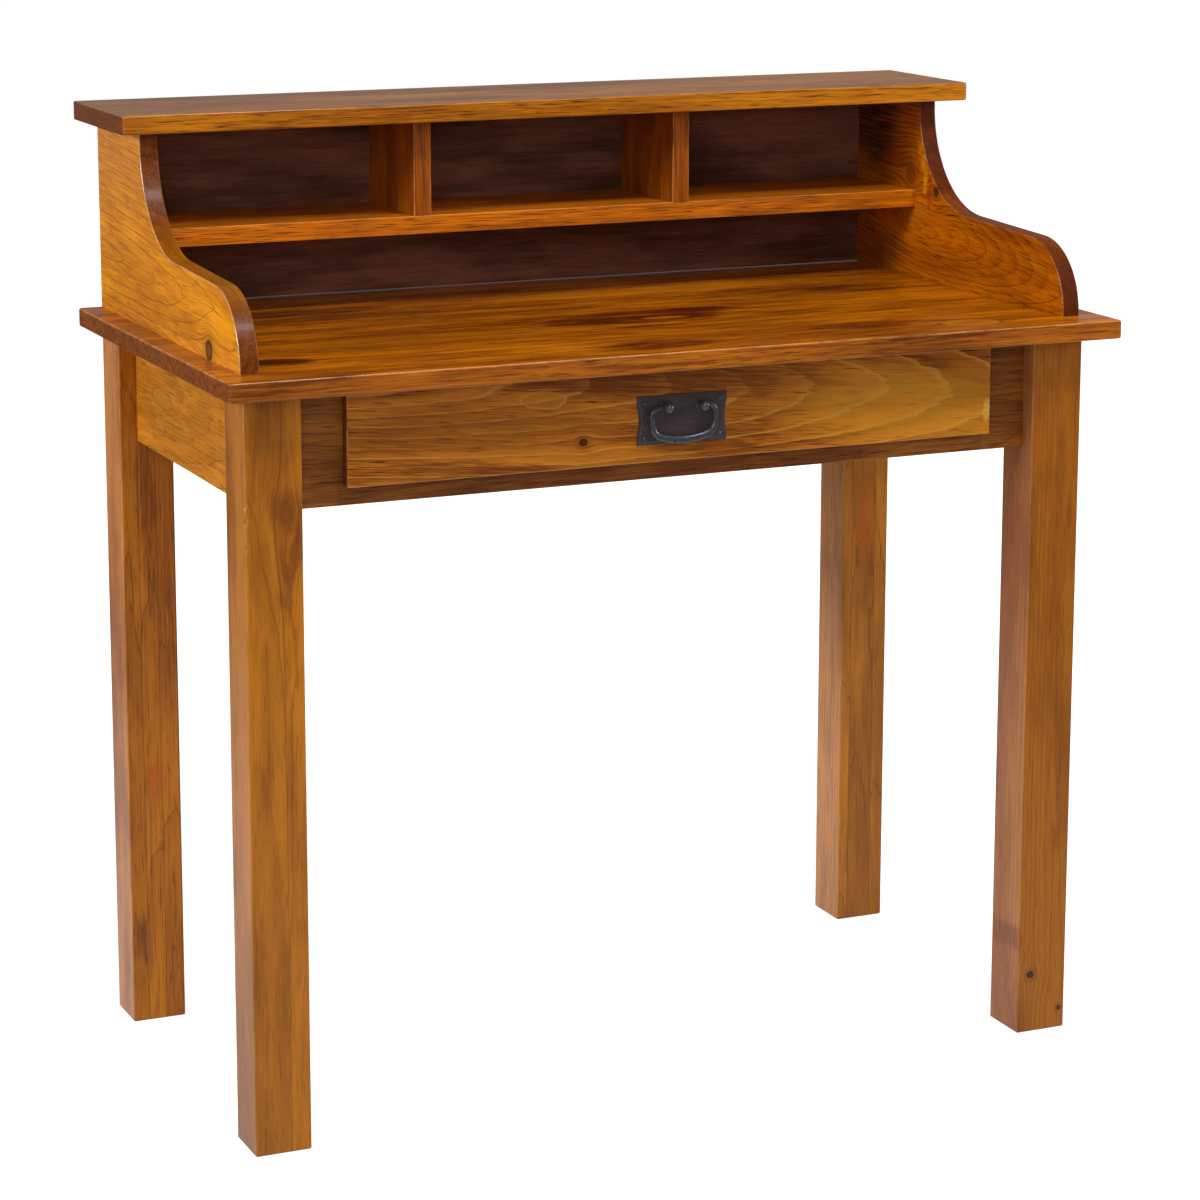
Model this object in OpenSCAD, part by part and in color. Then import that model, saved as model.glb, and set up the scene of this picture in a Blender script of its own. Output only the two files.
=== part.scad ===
// Postmaster desk: a writing desk with one shallow drawer and a low rack of
// three pigeonholes on its worktop. Millimetres, +Z up, front towards -Y.
// The origin is on the floor, under the middle of the worktop.

/* [Worktop] */
// Width of the worktop, end to end
worktop_w = 950; // [880:5:1100]
// Depth of the worktop, front to back
worktop_d = 500; // [480:5:600]
// Thickness of the worktop
worktop_t = 19; // [16:0.5:28]
// Height of the writing surface above the floor
desk_h = 762; // [700:2:800]
// Radius of the upright corners of worktop and cap
board_corner_r = 4; // [2.5:0.5:10]
// Rounding of the worktop's long edges
worktop_ease = 2; // [1:0.25:2.25]

/* [Legs] */
// Side of the square leg
leg_size = 57; // [52:1:70]
// How far the legs stand in from the worktop's ends
leg_side_setback = 25; // [10:1:60]
// How far the front legs stand in from the worktop's front edge
leg_front_setback = 36; // [25:1:50]
// How far the back legs stand in from the worktop's back edge
leg_back_setback = 0; // [0:1:20]
// Rounding of the legs' upright edges
leg_ease = 2; // [1:0.25:4]

/* [Aprons] */
// Height of the aprons under the worktop
apron_h = 115; // [108:1:140]
// Thickness of the aprons
apron_t = 19; // [17:0.5:22]
// Height of the apron below the drawer opening
apron_lower_strip = 28; // [24:1:34]
// Height of the apron above the drawer opening
apron_upper_strip = 19; // [14:0.5:24]
// Width of the front apron between each leg and the drawer opening
opening_stile = 55.5; // [53:0.5:80]
// Thickness of the apron tenons
tenon_t = 10; // [8:0.5:12]
// Length of the apron tenons
tenon_l = 20; // [12:0.5:22]
// Shoulder above and below each tenon
tenon_shoulder = 12; // [8:1:18]
// Free depth at the blind end of a joint
glue_gap = 0.3; // [0.1:0.1:1]

/* [Drawer runners] */
// Width of the ledge that carries a drawer side
ledge_w = 20; // [16:1:26]
// Thickness of that ledge
ledge_t = 16; // [12:1:18]
// Thickness of the guide beside the drawer
guide_t = 14; // [10:1:16]
// Height of the guide above the ledge
guide_h = 34; // [20:1:44]
// Depth that runners and kickers are let into the aprons
housing_depth = 5; // [3:0.5:7]

/* [Drawer] */
// Thickness of the drawer front, lip included
front_board_t = 19; // [18:0.5:22]
// How far the drawer front stands proud of the apron
front_stand = 13; // [11:0.5:13.5]
// Overlap of the lip on the apron at the ends and below
lip_w = 9; // [6:0.5:12]
// Gap between the drawer front and the worktop
front_top_gap = 3; // [2:0.5:6]
// Rounding of the drawer front's edges
front_ease = 1.25; // [0.5:0.25:2.5]
// Thickness of the drawer sides and back
box_t = 12; // [10:0.5:14]
// Room between the drawer box and the back apron
box_end_gap = 22; // [10:1:80]
// Clearance between the box and the opening's ends
box_side_gap = 1.5; // [1:0.25:3]
// Clearance between the box and the ledges
box_foot_gap = 0.3; // [0.2:0.1:0.6]
// Clearance between the box and the kickers
box_top_gap = 1.5; // [1:0.25:3]
// Thickness of the drawer bottom
bottom_t = 6; // [4:0.5:7]
// Height of the bottom above the box's lower edge
bottom_rise = 10; // [8:0.5:14]
// Depth of the grooves that hold the bottom
groove_depth = 5.5; // [4:0.5:6]

/* [Pigeonhole rack] */
// Height of the rack, worktop to the top of its cap
rack_h = 214; // [205:1:260]
// Thickness of the rack's side panels
side_t = 19; // [18:0.5:24]
// How far the side panels stand in from the worktop's ends
side_setback = 25; // [15:1:60]
// How far the side panels stop short of the worktop's front edge
side_front_setback = 43.5; // [35:0.5:60]
// Depth of the side panels at the top
side_top_d = 149; // [146:1:165]
// Radius of the round at the front of a side panel
side_round_r = 72; // [60:1:76]
// Height of that round's centre above the worktop
side_round_rise = 2.5; // [1:0.5:8]
// Radius of the hollow under the cap
side_hollow_r = 110; // [100:1:112]
// Height of the straight edge between hollow and cap
side_hollow_drop = 6; // [4:0.5:12]
// Thickness of the cap
cap_t = 19; // [17:0.5:26]
// Depth of the cap, front to back
cap_d = 175; // [165:1:195]
// How far the cap runs past each side panel
cap_overhang = 25; // [10:1:40]
// Rounding of the cap's edges
cap_ease = 1.5; // [1:0.25:2]
// Clear height of the pigeonholes
cubby_h = 99; // [90:1:110]
// Thickness of the shelf under the pigeonholes
shelf_t = 19; // [12:0.5:22]
// How far the shelf and dividers stand behind the upper side edges
shelf_recess = 7; // [2:0.5:15]
// Thickness of the dividers
divider_t = 19; // [10:0.5:22]
// Depth of the shelf's housings in the side panels
shelf_housing = 6; // [4:0.5:8]
// Depth of the divider housings in the shelf and the cap
divider_housing = 5; // [3:0.5:5.5]
// Thickness of the plywood back
back_t = 6; // [4:0.5:6.5]
// Depth of the rebates that hold the back
back_rebate = 9; // [8.5:0.5:12]
// Width of those rebates across the side panels
back_rebate_w = 10; // [8:0.5:12]
// Height of the rebate for the back under the cap
back_rebate_h = 8; // [7:0.5:9]
// Gap under the back panel
back_foot_gap = 1; // [0.3:0.1:1.5]
// Free space round the back panel in its rebates
back_edge_gap = 0.4; // [0.2:0.1:1]

/* [Fasteners] */
// Width of a wooden top button
button_w = 28; // [22:1:30]
// Length of a top button's block
button_l = 30; // [26:1:36]
// Thickness of a top button
button_t = 18; // [16:0.5:20]
// Thickness of a button's tongue
button_tongue_t = 8; // [6:0.5:9]
// Length of a button's tongue
button_tongue_l = 7; // [5:0.5:8]
// Distance of a side apron's buttons from the legs
side_button_inset = 65; // [30:5:100]
// Distance of the back apron's outer buttons from the legs
back_button_inset = 150; // [100:5:200]
// Room for the tongue to creep along its slot, at each end
slot_play = 2.5; // [1:0.5:3]
// Shank diameter of the large wood screws
screw_d = 4; // [3:0.5:5]
// Head diameter of the large wood screws
screw_head_d = 8; // [7:0.5:9]
// Length of the screws up into the side panels
side_screw_l = 50; // [35:1:60]
// Distance of the front one of those screws from the side panel's front
side_screw_front = 106.5; // [85:0.5:140]
// Distance of the back one of those screws from the back edge
side_screw_back = 120; // [60:5:180]
// Length of the screws through the top buttons
button_screw_l = 30; // [26:0.5:31]
// Distance of the outer drawer bottom screws from the drawer sides
bottom_screw_inset = 104; // [40:2:160]
// Length of the screws up into the drawer back
bottom_screw_l = 25; // [15:1:35]
// Shank diameter of the small screws in the rack's back
back_screw_d = 2.6; // [2:0.1:3]
// Head diameter of those screws
back_screw_head_d = 6; // [5:0.25:7]
// Head height of those screws
back_screw_head_h = 1.6; // [1:0.1:1.8]
// Length of those screws under the head
back_screw_l = 16; // [12:1:20]
// Distance of the side rows of those screws from the worktop, shelf and cap
back_screw_inset = 28; // [18:1:30]
// Distance of the outer screws of the cross rows from the side panels
back_screw_row_inset = 141; // [60:1:200]
// Diameter of the dowels between side panels and cap
dowel_d = 8; // [6:0.5:9]
// Length of those dowels
dowel_l = 29; // [24:1:32]
// Length of a dowel inside the cap
dowel_in_cap = 10; // [8:0.5:12]
// Distance of the front dowel from the side panel's upper front edge
dowel_front = 44; // [30:1:60]
// Distance of the back dowel from the back edge
dowel_back = 35; // [20:1:45]
// Diameter of the pins through the drawer's corners
pin_d = 1.8; // [1.4:0.1:2.2]
// Length of those pins
pin_l = 28; // [20:1:32]
// Distance of the pins from the drawer's bottom and from its upper edge
pin_inset = 10; // [7:0.5:14]
// Radial room round screws, pins and dowels
fit_gap = 0.05; // [0.03:0.01:0.1]

/* [Drawer pull] */
// Width of the pull's plate at its ears
plate_w = 96; // [90:1:110]
// Height of the pull's plate
plate_h = 48.5; // [46:0.5:54]
// Thickness of the pull's plate
plate_t = 1.5; // [1:0.1:2.5]
// How deep the plate's ends are waisted between the ears
plate_waist = 2; // [1:0.25:3]
// Height of each ear
plate_ear_h = 9.5; // [8:0.5:12]
// Radius of the plate's corners
plate_corner_r = 1.5; // [0.5:0.25:3]
// Width of the bevelled rim round the plate's face
plate_rim = 3; // [2:0.25:4]
// Height of the raised face inside the rim
plate_face_h = 0.5; // [0.3:0.1:0.8]
// How far the plate's middle lies below the middle of the drawer front
plate_drop = 4.5; // [0:0.5:8]
// Distance between the two posts
post_spacing = 38; // [34:0.5:42]
// Height of the posts above the plate's middle
post_rise = 13; // [10:0.5:15]
// Diameter of a post's neck
neck_d = 7.4; // [6.5:0.1:8]
// Length of a post's neck
neck_l = 8.2; // [7.8:0.1:9.5]
// Diameter of a post's round head
post_head_d = 11.2; // [10:0.1:12]
// Depth of the flat that is cut behind the ball of the head
post_head_cut = 3.9; // [3:0.1:4.5]
// Diameter of a post's threaded shank
shank_d = 4; // [3:0.5:5]
// Width of the shank's nut across its flats
nut_w = 7; // [6.5:0.5:8.5]
// Thickness of the nut
nut_t = 3.2; // [2.4:0.2:4]
// How far the shank runs past the nut
shank_tail = 2.5; // [1:0.5:4]
// Diameter of the bail's pivots
pivot_d = 3.4; // [2.8:0.1:3.8]
// Radial running clearance of the pivots in the necks
pivot_gap = 0.1; // [0.05:0.01:0.1]
// Distance of the pivots in front of the plate's face
pivot_stand = 4.2; // [3.8:0.1:4.6]
// Half of the bail's width on its centre line
bail_half_w = 34.8; // [32:0.2:37]
// Drop of the bail's centre line below its pivots
bail_drop = 34.5; // [30:0.5:36]
// Radius of the bail's upper bends
bail_shoulder_r = 9; // [7:0.5:11]
// Radius of the bail's lower bends
bail_corner_r = 15; // [13:0.5:17]
// Radius of the bail's bottom curve
bail_bottom_r = 80; // [60:1:110]
// Height of the bail's section in the middle of the grip
bail_mid_w = 6; // [5:0.2:6.4]
// Depth of the bail's section, front to back
bail_mid_t = 4.6; // [4:0.2:5]
// Diameter of one of the four plate nails' heads
nail_head_d = 4.2; // [3.4:0.1:5]
// Height of a nail's domed head
nail_head_h = 1.2; // [0.8:0.1:1.6]
// Diameter of a nail's shank
nail_d = 1.6; // [1.2:0.1:2]
// Length of a nail's shank
nail_l = 9; // [6:0.5:12]
// Distance of a nail from the plate's ends
nail_inset_x = 7.5; // [6:0.25:9]
// Distance of a nail from the plate's long edges
nail_inset_z = 6.5; // [5:0.25:8]

/* [Hidden] */
$fn = 64;

// Cutters run this far past the faces that they open
past = 1;
left = -1;
right = 1;

// Colours of the stained wood and of the iron
stain = "peru";
stain_deep = "sienna";
ply_dark = "saddlebrown";
box_wood = "burlywood";
steel = "silver";
iron = "dimgray";

// Main planes of the desk
front_y = -worktop_d / 2;
back_y = worktop_d / 2;
under_z = desk_h - worktop_t;
leg_x = worktop_w / 2 - leg_side_setback;
leg_in_x = leg_x - leg_size;
leg_front_y = front_y + leg_front_setback;
leg_back_y = back_y - leg_back_setback;
apron_z = under_z - apron_h;
apron_inset = (leg_size - apron_t) / 2;
front_apron_y = leg_front_y + apron_inset;
back_apron_y = leg_back_y - apron_inset - apron_t;
side_apron_x = leg_x - apron_inset;
side_apron_in_x = side_apron_x - apron_t;
tenon_z = apron_z + tenon_shoulder;
tenon_h = apron_h - 2 * tenon_shoulder;
tenon_inset = (leg_size - tenon_t) / 2;

// Drawer opening, runners and kickers
open_x = leg_in_x - opening_stile;
open_z = apron_z + apron_lower_strip;
open_top_z = under_z - apron_upper_strip;
runner_in_x = open_x - ledge_w;
runner_out_x = open_x + guide_t;
runner_y = front_apron_y + apron_t - housing_depth;
runner_l = back_apron_y + housing_depth - runner_y;

// Drawer
front_face_y = front_apron_y - front_stand;
front_back_y = front_face_y + front_board_t;
front_x = open_x + lip_w;
front_z = open_z - lip_w;
front_top_z = under_z - front_top_gap;
box_x = open_x - box_side_gap;
box_in_x = box_x - box_t;
box_z = open_z + box_foot_gap;
box_top_z = open_top_z - box_top_gap;
box_y = front_apron_y;
box_back_y = back_apron_y - box_end_gap;
bottom_z = box_z + bottom_rise;
bottom_x = box_in_x + groove_depth - glue_gap;
bottom_y = front_back_y - groove_depth + glue_gap;
pin_front_y = (box_y + front_back_y) / 2;
pin_back_y = box_back_y - box_t / 2;
pin_zs = [bottom_z + bottom_t + pin_inset, box_top_z - pin_inset];
bottom_screw_x = box_in_x - bottom_screw_inset;
bottom_screw_xs = [-bottom_screw_x, 0, bottom_screw_x];

// Pigeonhole rack
rack_top_z = desk_h + rack_h;
cap_z = rack_top_z - cap_t;
rack_x = worktop_w / 2 - side_setback;
rack_in_x = rack_x - side_t;
cap_x = rack_x + cap_overhang;
cap_y = back_y - cap_d;
side_y = front_y + side_front_setback;
side_top_y = back_y - side_top_d;
shelf_y = side_top_y + shelf_recess;
shelf_top_z = cap_z - cubby_h;
shelf_z = shelf_top_z - shelf_t;
back_front_y = back_y - back_rebate;
cubby_w = (2 * rack_in_x - 2 * divider_t) / 3;
divider_x = cubby_w / 2 + divider_t / 2;
round_c = [side_y + side_round_r, desk_h + side_round_rise];
hollow_c = [side_top_y - side_hollow_r, cap_z - side_hollow_drop];
side_mid_x = rack_x - side_t / 2;
side_screw_ys = [side_y + side_screw_front, back_y - side_screw_back];
dowel_ys = [side_top_y + dowel_front, back_y - dowel_back];
back_screw_x = rack_in_x + back_rebate_w / 2;
back_screw_cap_z = cap_z + back_rebate_h / 2;
back_screw_side_zs = [desk_h + back_screw_inset, shelf_z - back_screw_inset / 2,
    cap_z - back_screw_inset];
back_screw_row_x = rack_in_x - back_screw_row_inset;
back_screw_row_xs = [-back_screw_row_x, 0, back_screw_row_x];

// The shoulder of a side panel is the straight line that touches both the round and the hollow
centres = hollow_c - round_c;
shoulder_tilt = acos((side_round_r + side_hollow_r) / norm(centres))
    - (90 - atan2(centres[1], centres[0]));
shoulder_up = [-sin(shoulder_tilt), cos(shoulder_tilt)];
shoulder_front = round_c + side_round_r * shoulder_up;
shoulder_back = hollow_c - side_hollow_r * shoulder_up;
front_corner = [side_y, shoulder_front[1] + (side_y - shoulder_front[0]) * tan(shoulder_tilt)];

// Buttons: the middle of each one along its apron
front_button_x = (runner_out_x + leg_in_x) / 2;
side_button_ys = [leg_front_y + leg_size + side_button_inset,
    leg_back_y - leg_size - side_button_inset];
back_button_x = leg_in_x - back_button_inset;
back_button_xs = [-back_button_x, 0, back_button_x];
button_tongue_top = -(button_t - button_tongue_t);
slot_depth = button_tongue_l + 1;
slot_room = 0.5;
button_gap = 1;
button_screw_in = button_l / 2;

// Drawer pull
plate_y = front_face_y - plate_t;
plate_face_y = plate_y - plate_face_h;
plate_z = (front_z + front_top_z) / 2 - plate_drop;
post_x = post_spacing / 2;
post_z = plate_z + post_rise;
pivot_y = plate_face_y - pivot_stand;
pivot_end_x = post_x - neck_d / 4;
shank_l = plate_t + plate_face_h + front_board_t + nut_t + shank_tail;
nail_x = plate_w / 2 - nail_inset_x;
nail_z = plate_h / 2 - nail_inset_z;
bail_end_x = bail_half_w - bail_shoulder_r;
pivot_lap = 0.5;

// Flat shapes

module rounded_rect(size, r) {
    translate([r, 0]) square([size[0] - 2 * r, size[1]]);
    translate([0, r]) square([size[0], size[1] - 2 * r]);
    for (x = [r, size[0] - r], y = [r, size[1] - r]) translate([x, y]) circle(r);
}

// Solids between two opposite corners

module block(lo, hi) {
    translate(lo) cube(hi - lo);
}

// A block that is drawn on the left or, mirrored, on the right
module sided_block(side, lo, hi) {
    mirror([side < 0 ? 1 : 0, 0, 0]) block(lo, hi);
}

// A board with rounded upright corners and rounded long edges
module eased_board(lo, hi, corner_r, ease) {
    size = hi - lo;
    translate(lo) intersection() {
        linear_extrude(size[2]) rounded_rect([size[0], size[1]], corner_r);
        translate([0, size[1] + past, 0]) rotate([90, 0, 0])
            linear_extrude(size[1] + 2 * past) rounded_rect([size[0], size[2]], ease);
        translate([-past, 0, 0]) rotate([90, 0, 90])
            linear_extrude(size[0] + 2 * past) rounded_rect([size[1], size[2]], ease);
    }
}

// Fasteners, drawn along +Z from the underside of the head

// A cross recess cut from z down towards +Z
module cross_recess(z, span, slit, depth) {
    for (turn = [0, 90]) rotate(turn)
        translate([-span / 2, -slit / 2, z - past]) cube([span, slit, past + depth]);
}

module wood_screw(len, d, head_d) {
    head_h = (head_d - d) / 2;
    point = d;
    difference() {
        union() {
            cylinder(h = head_h, d1 = head_d, d2 = d);
            cylinder(h = len - point, d = d);
            translate([0, 0, len - point]) cylinder(h = point, d1 = d, d2 = d / 6);
        }
        cross_recess(0, head_d * 0.6, head_d * 0.1, head_h * 0.6);
    }
}

// The hole for such a screw, open under the head
module screw_hole(len, d, head_d) {
    head_h = (head_d - d) / 2;
    grown = 2 * fit_gap;
    translate([0, 0, -past]) cylinder(h = past, d = head_d + grown);
    cylinder(h = head_h, d1 = head_d + grown, d2 = d + grown);
    translate([0, 0, -past]) cylinder(h = len + past + glue_gap, d = d + grown);
}

module at_side_screws() {
    for (side = [left, right], y = side_screw_ys)
        translate([side * side_mid_x, y, under_z]) children();
}

module at_dowels() {
    for (side = [left, right], y = dowel_ys)
        translate([side * side_mid_x, y, cap_z + dowel_in_cap - dowel_l]) children();
}

// Places of the small screws in the rack's back, with +Z turned forwards
module at_back_screws() {
    places = concat(
        [for (side = [left, right], z = back_screw_side_zs) [side * back_screw_x, z]],
        [for (x = back_screw_row_xs) [x, shelf_top_z - shelf_t / 2]],
        [for (x = back_screw_row_xs) [x, back_screw_cap_z]]);
    for (p = places)
        translate([p[0], back_front_y + back_t, p[1]]) rotate([90, 0, 0]) children();
}

module back_screw_holes() {
    at_back_screws() translate([0, 0, -past])
        cylinder(h = back_screw_l + past + glue_gap, d = back_screw_d + 2 * fit_gap);
}

// Places of the drawer's corner pins, with +Z turned inwards
module at_drawer_pins(side, y) {
    for (z = pin_zs)
        translate([side * box_x, y, z]) rotate([0, -90 * side, 0]) children();
}

module pin_holes(side, y) {
    at_drawer_pins(side, y) translate([0, 0, -past])
        cylinder(h = pin_l + past + glue_gap, d = pin_d + 2 * fit_gap);
}

module at_bottom_screws() {
    for (x = bottom_screw_xs) translate([x, pin_back_y, bottom_z]) children();
}

// Places of the top buttons: origin on the apron's inner face under the worktop, tongue towards +X
module at_front_buttons() {
    for (side = [left, right])
        translate([side * front_button_x, front_apron_y + apron_t, under_z])
            rotate(-90) children();
}

module at_side_buttons(side) {
    for (y = side_button_ys)
        translate([side * side_apron_in_x, y, under_z]) rotate(side > 0 ? 0 : 180) children();
}

module at_back_buttons() {
    for (x = back_button_xs)
        translate([x, back_apron_y, under_z]) rotate(90) children();
}

module at_all_buttons() {
    at_front_buttons() children();
    at_side_buttons(left) children();
    at_side_buttons(right) children();
    at_back_buttons() children();
}

// The slot in an apron for a button's tongue
module button_slot() {
    half_w = button_w / 2 + slot_play;
    block([-past, -half_w, button_tongue_top - button_tongue_t - slot_room],
        [slot_depth, half_w, button_tongue_top]);
}

module button_screw_place() {
    translate([-button_screw_in, 0, -button_t]) children();
}

// Desk base

module worktop() {
    color(stain) difference() {
        eased_board([-worktop_w / 2, front_y, under_z], [worktop_w / 2, back_y, desk_h],
            board_corner_r, worktop_ease);
        at_side_screws() screw_hole(side_screw_l, screw_d, screw_head_d);
        at_all_buttons() button_screw_place()
            screw_hole(button_screw_l, screw_d, screw_head_d);
    }
}

// A leg with its two blind mortises; end is -1 at the front and 1 at the back
module leg(side, end) {
    y = end < 0 ? leg_front_y : leg_back_y - leg_size;
    reach = tenon_l + glue_gap;
    side_mortise_y = end < 0 ? y + leg_size - reach : y - past;
    color(stain) mirror([side < 0 ? 1 : 0, 0, 0]) difference() {
        translate([leg_in_x, y, 0]) linear_extrude(under_z)
            rounded_rect([leg_size, leg_size], leg_ease);
        block([leg_in_x - past, y + tenon_inset, tenon_z],
            [leg_in_x + reach, y + tenon_inset + tenon_t, tenon_z + tenon_h]);
        block([leg_in_x + tenon_inset, side_mortise_y, tenon_z],
            [leg_in_x + tenon_inset + tenon_t, side_mortise_y + reach + past, tenon_z + tenon_h]);
    }
}

// A cross apron between two legs, with a tenon on each end
module cross_apron(y) {
    mid_y = y + apron_t / 2;
    block([-leg_in_x, y, apron_z], [leg_in_x, y + apron_t, under_z]);
    block([-leg_in_x - tenon_l, mid_y - tenon_t / 2, tenon_z],
        [leg_in_x + tenon_l, mid_y + tenon_t / 2, tenon_z + tenon_h]);
}

module runner_shape(side) {
    sided_block(side, [runner_in_x, runner_y, open_z - ledge_t],
        [runner_out_x, runner_y + runner_l, open_z]);
    sided_block(side, [open_x, runner_y, open_z - ledge_t],
        [runner_out_x, runner_y + runner_l, open_z + guide_h]);
}

module kicker_shape(side) {
    sided_block(side, [runner_in_x, runner_y, open_top_z],
        [runner_out_x, runner_y + runner_l, under_z]);
}

module front_apron() {
    color(stain) difference() {
        cross_apron(front_apron_y);
        block([-open_x, front_apron_y - past, open_z],
            [open_x, front_apron_y + apron_t + past, open_top_z]);
        for (side = [left, right]) {
            runner_shape(side);
            kicker_shape(side);
        }
        at_front_buttons() button_slot();
    }
}

module back_apron() {
    color(stain) difference() {
        cross_apron(back_apron_y);
        for (side = [left, right]) {
            runner_shape(side);
            kicker_shape(side);
        }
        at_back_buttons() button_slot();
    }
}

module side_apron(side) {
    y0 = leg_front_y + leg_size;
    y1 = leg_back_y - leg_size;
    mid_x = side_apron_in_x + apron_t / 2;
    color(stain) difference() {
        union() {
            sided_block(side, [side_apron_in_x, y0, apron_z], [side_apron_x, y1, under_z]);
            sided_block(side, [mid_x - tenon_t / 2, y0 - tenon_l, tenon_z],
                [mid_x + tenon_t / 2, y1 + tenon_l, tenon_z + tenon_h]);
        }
        at_side_buttons(side) button_slot();
    }
}

module runner(side) {
    color(box_wood) runner_shape(side);
}

module kicker(side) {
    color(box_wood) kicker_shape(side);
}

module top_button() {
    half_w = button_w / 2;
    difference() {
        union() {
            block([-button_l, -half_w, -button_t], [-button_gap, half_w, 0]);
            block([-button_gap - past, -half_w, -button_t],
                [button_tongue_l, half_w, button_tongue_top]);
        }
        button_screw_place() screw_hole(button_screw_l, screw_d, screw_head_d);
    }
}

module top_buttons() {
    color(box_wood) at_all_buttons() top_button();
}

module top_button_screws() {
    color(steel) at_all_buttons() button_screw_place()
        wood_screw(button_screw_l, screw_d, screw_head_d);
}

// Pigeonhole rack

// Outline of a side panel: round foot, sloping shoulder, hollow and straight top edge
module side_outline() {
    far = 2 * side_round_r;
    difference() {
        polygon([[side_y, desk_h], front_corner, shoulder_back, hollow_c,
            [side_top_y, hollow_c[1]], [side_top_y, cap_z], [back_y, cap_z], [back_y, desk_h]]);
        difference() {
            polygon([round_c, round_c + [-far, 0], round_c + [-far, far],
                round_c + far * shoulder_up]);
            translate(round_c) circle(side_round_r, $fn = 128);
        }
        translate(hollow_c) circle(side_hollow_r, $fn = 160);
    }
}

module rack_side(side) {
    color(stain) difference() {
        mirror([side < 0 ? 1 : 0, 0, 0]) translate([rack_in_x, 0, 0]) rotate([90, 0, 90])
            linear_extrude(side_t) side_outline();
        sided_block(side, [rack_in_x - past, shelf_y, shelf_z],
            [rack_in_x + shelf_housing, back_front_y, shelf_top_z]);
        sided_block(side, [rack_in_x - past, back_front_y, desk_h - past],
            [rack_in_x + back_rebate_w, back_y + past, cap_z + past]);
        at_side_screws() screw_hole(side_screw_l, screw_d, screw_head_d);
        at_dowels() translate([0, 0, -glue_gap])
            cylinder(h = dowel_l + past, d = dowel_d + 2 * fit_gap);
        back_screw_holes();
    }
}

// Housings for the dividers; run lengthens them past the front and back
module divider_housings(z0, z1, run) {
    for (side = [left, right])
        block([side * divider_x - divider_t / 2, shelf_y - run, z0],
            [side * divider_x + divider_t / 2, back_front_y + run, z1]);
}

module rack_shelf() {
    reach = rack_in_x + shelf_housing - glue_gap;
    color(stain) difference() {
        block([-reach, shelf_y, shelf_z], [reach, back_front_y, shelf_top_z]);
        divider_housings(shelf_top_z - divider_housing - glue_gap, shelf_top_z + past, past);
        back_screw_holes();
    }
}

module rack_divider(side) {
    x = side * divider_x;
    color(stain_deep) block([x - divider_t / 2, shelf_y, shelf_top_z - divider_housing],
        [x + divider_t / 2, back_front_y, cap_z + divider_housing]);
}

module rack_cap() {
    color(stain) difference() {
        eased_board([-cap_x, cap_y, cap_z], [cap_x, back_y, rack_top_z], board_corner_r,
            cap_ease);
        divider_housings(cap_z - past, cap_z + divider_housing + glue_gap, 0);
        block([-rack_in_x - back_rebate_w, back_front_y, cap_z - past],
            [rack_in_x + back_rebate_w, back_y + past, cap_z + back_rebate_h]);
        at_dowels() cylinder(h = dowel_l + glue_gap, d = dowel_d + 2 * fit_gap);
        back_screw_holes();
    }
}

module rack_back() {
    half_w = rack_in_x + back_rebate_w - back_edge_gap;
    color(ply_dark) difference() {
        block([-half_w, back_front_y, desk_h + back_foot_gap],
            [half_w, back_front_y + back_t, cap_z + back_rebate_h - back_edge_gap]);
        back_screw_holes();
    }
}

module rack_side_screws() {
    color(steel) at_side_screws() wood_screw(side_screw_l, screw_d, screw_head_d);
}

module rack_cap_dowels() {
    color(box_wood) at_dowels() cylinder(h = dowel_l, d = dowel_d);
}

// A round-headed screw whose head stands behind the back panel
module back_screw() {
    head_r = back_screw_head_d / 2;
    ball_r = (head_r * head_r + back_screw_head_h * back_screw_head_h) / (2 * back_screw_head_h);
    difference() {
        union() {
            cylinder(h = back_screw_l, d = back_screw_d);
            intersection() {
                translate([0, 0, ball_r - back_screw_head_h]) sphere(ball_r);
                translate([0, 0, -back_screw_head_h]) cylinder(h = back_screw_head_h, r = head_r);
            }
        }
        cross_recess(-back_screw_head_h, head_r, head_r * 0.2, back_screw_head_h * 0.6);
    }
}

module rack_back_screws() {
    color(steel) at_back_screws() back_screw();
}

// Drawer

module drawer_front() {
    color(stain) difference() {
        union() {
            translate([0, front_apron_y, 0]) rotate([90, 0, 0]) linear_extrude(front_stand)
                drawer_lip_outline();
            block([-box_in_x, box_y - past, box_z], [box_in_x, front_back_y, box_top_z]);
        }
        block([-box_in_x - past, front_back_y - groove_depth, bottom_z],
            [box_in_x + past, front_back_y + past, bottom_z + bottom_t]);
        for (side = [left, right]) {
            pin_holes(side, pin_front_y);
            translate([side * post_x, front_face_y - past, post_z]) rotate([-90, 0, 0])
                cylinder(h = front_board_t + 2 * past, d = shank_d + 2 * fit_gap);
        }
        at_plate_nails() cylinder(h = nail_l + glue_gap, d = nail_d + 2 * fit_gap);
    }
}

module drawer_lip_outline() {
    translate([-front_x, front_z]) rounded_rect([2 * front_x, front_top_z - front_z], front_ease);
}

module drawer_side(side) {
    color(box_wood) difference() {
        sided_block(side, [box_in_x, box_y, box_z], [box_x, box_back_y, box_top_z]);
        sided_block(side, [box_in_x - past, box_y - past, bottom_z],
            [box_in_x + groove_depth, box_back_y + past, bottom_z + bottom_t]);
        pin_holes(side, pin_front_y);
        pin_holes(side, pin_back_y);
    }
}

module drawer_back() {
    color(box_wood) difference() {
        block([-box_in_x, box_back_y - box_t, bottom_z + bottom_t],
            [box_in_x, box_back_y, box_top_z]);
        for (side = [left, right]) pin_holes(side, pin_back_y);
        at_bottom_screws() screw_hole(bottom_screw_l, screw_d, screw_head_d);
    }
}

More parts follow.
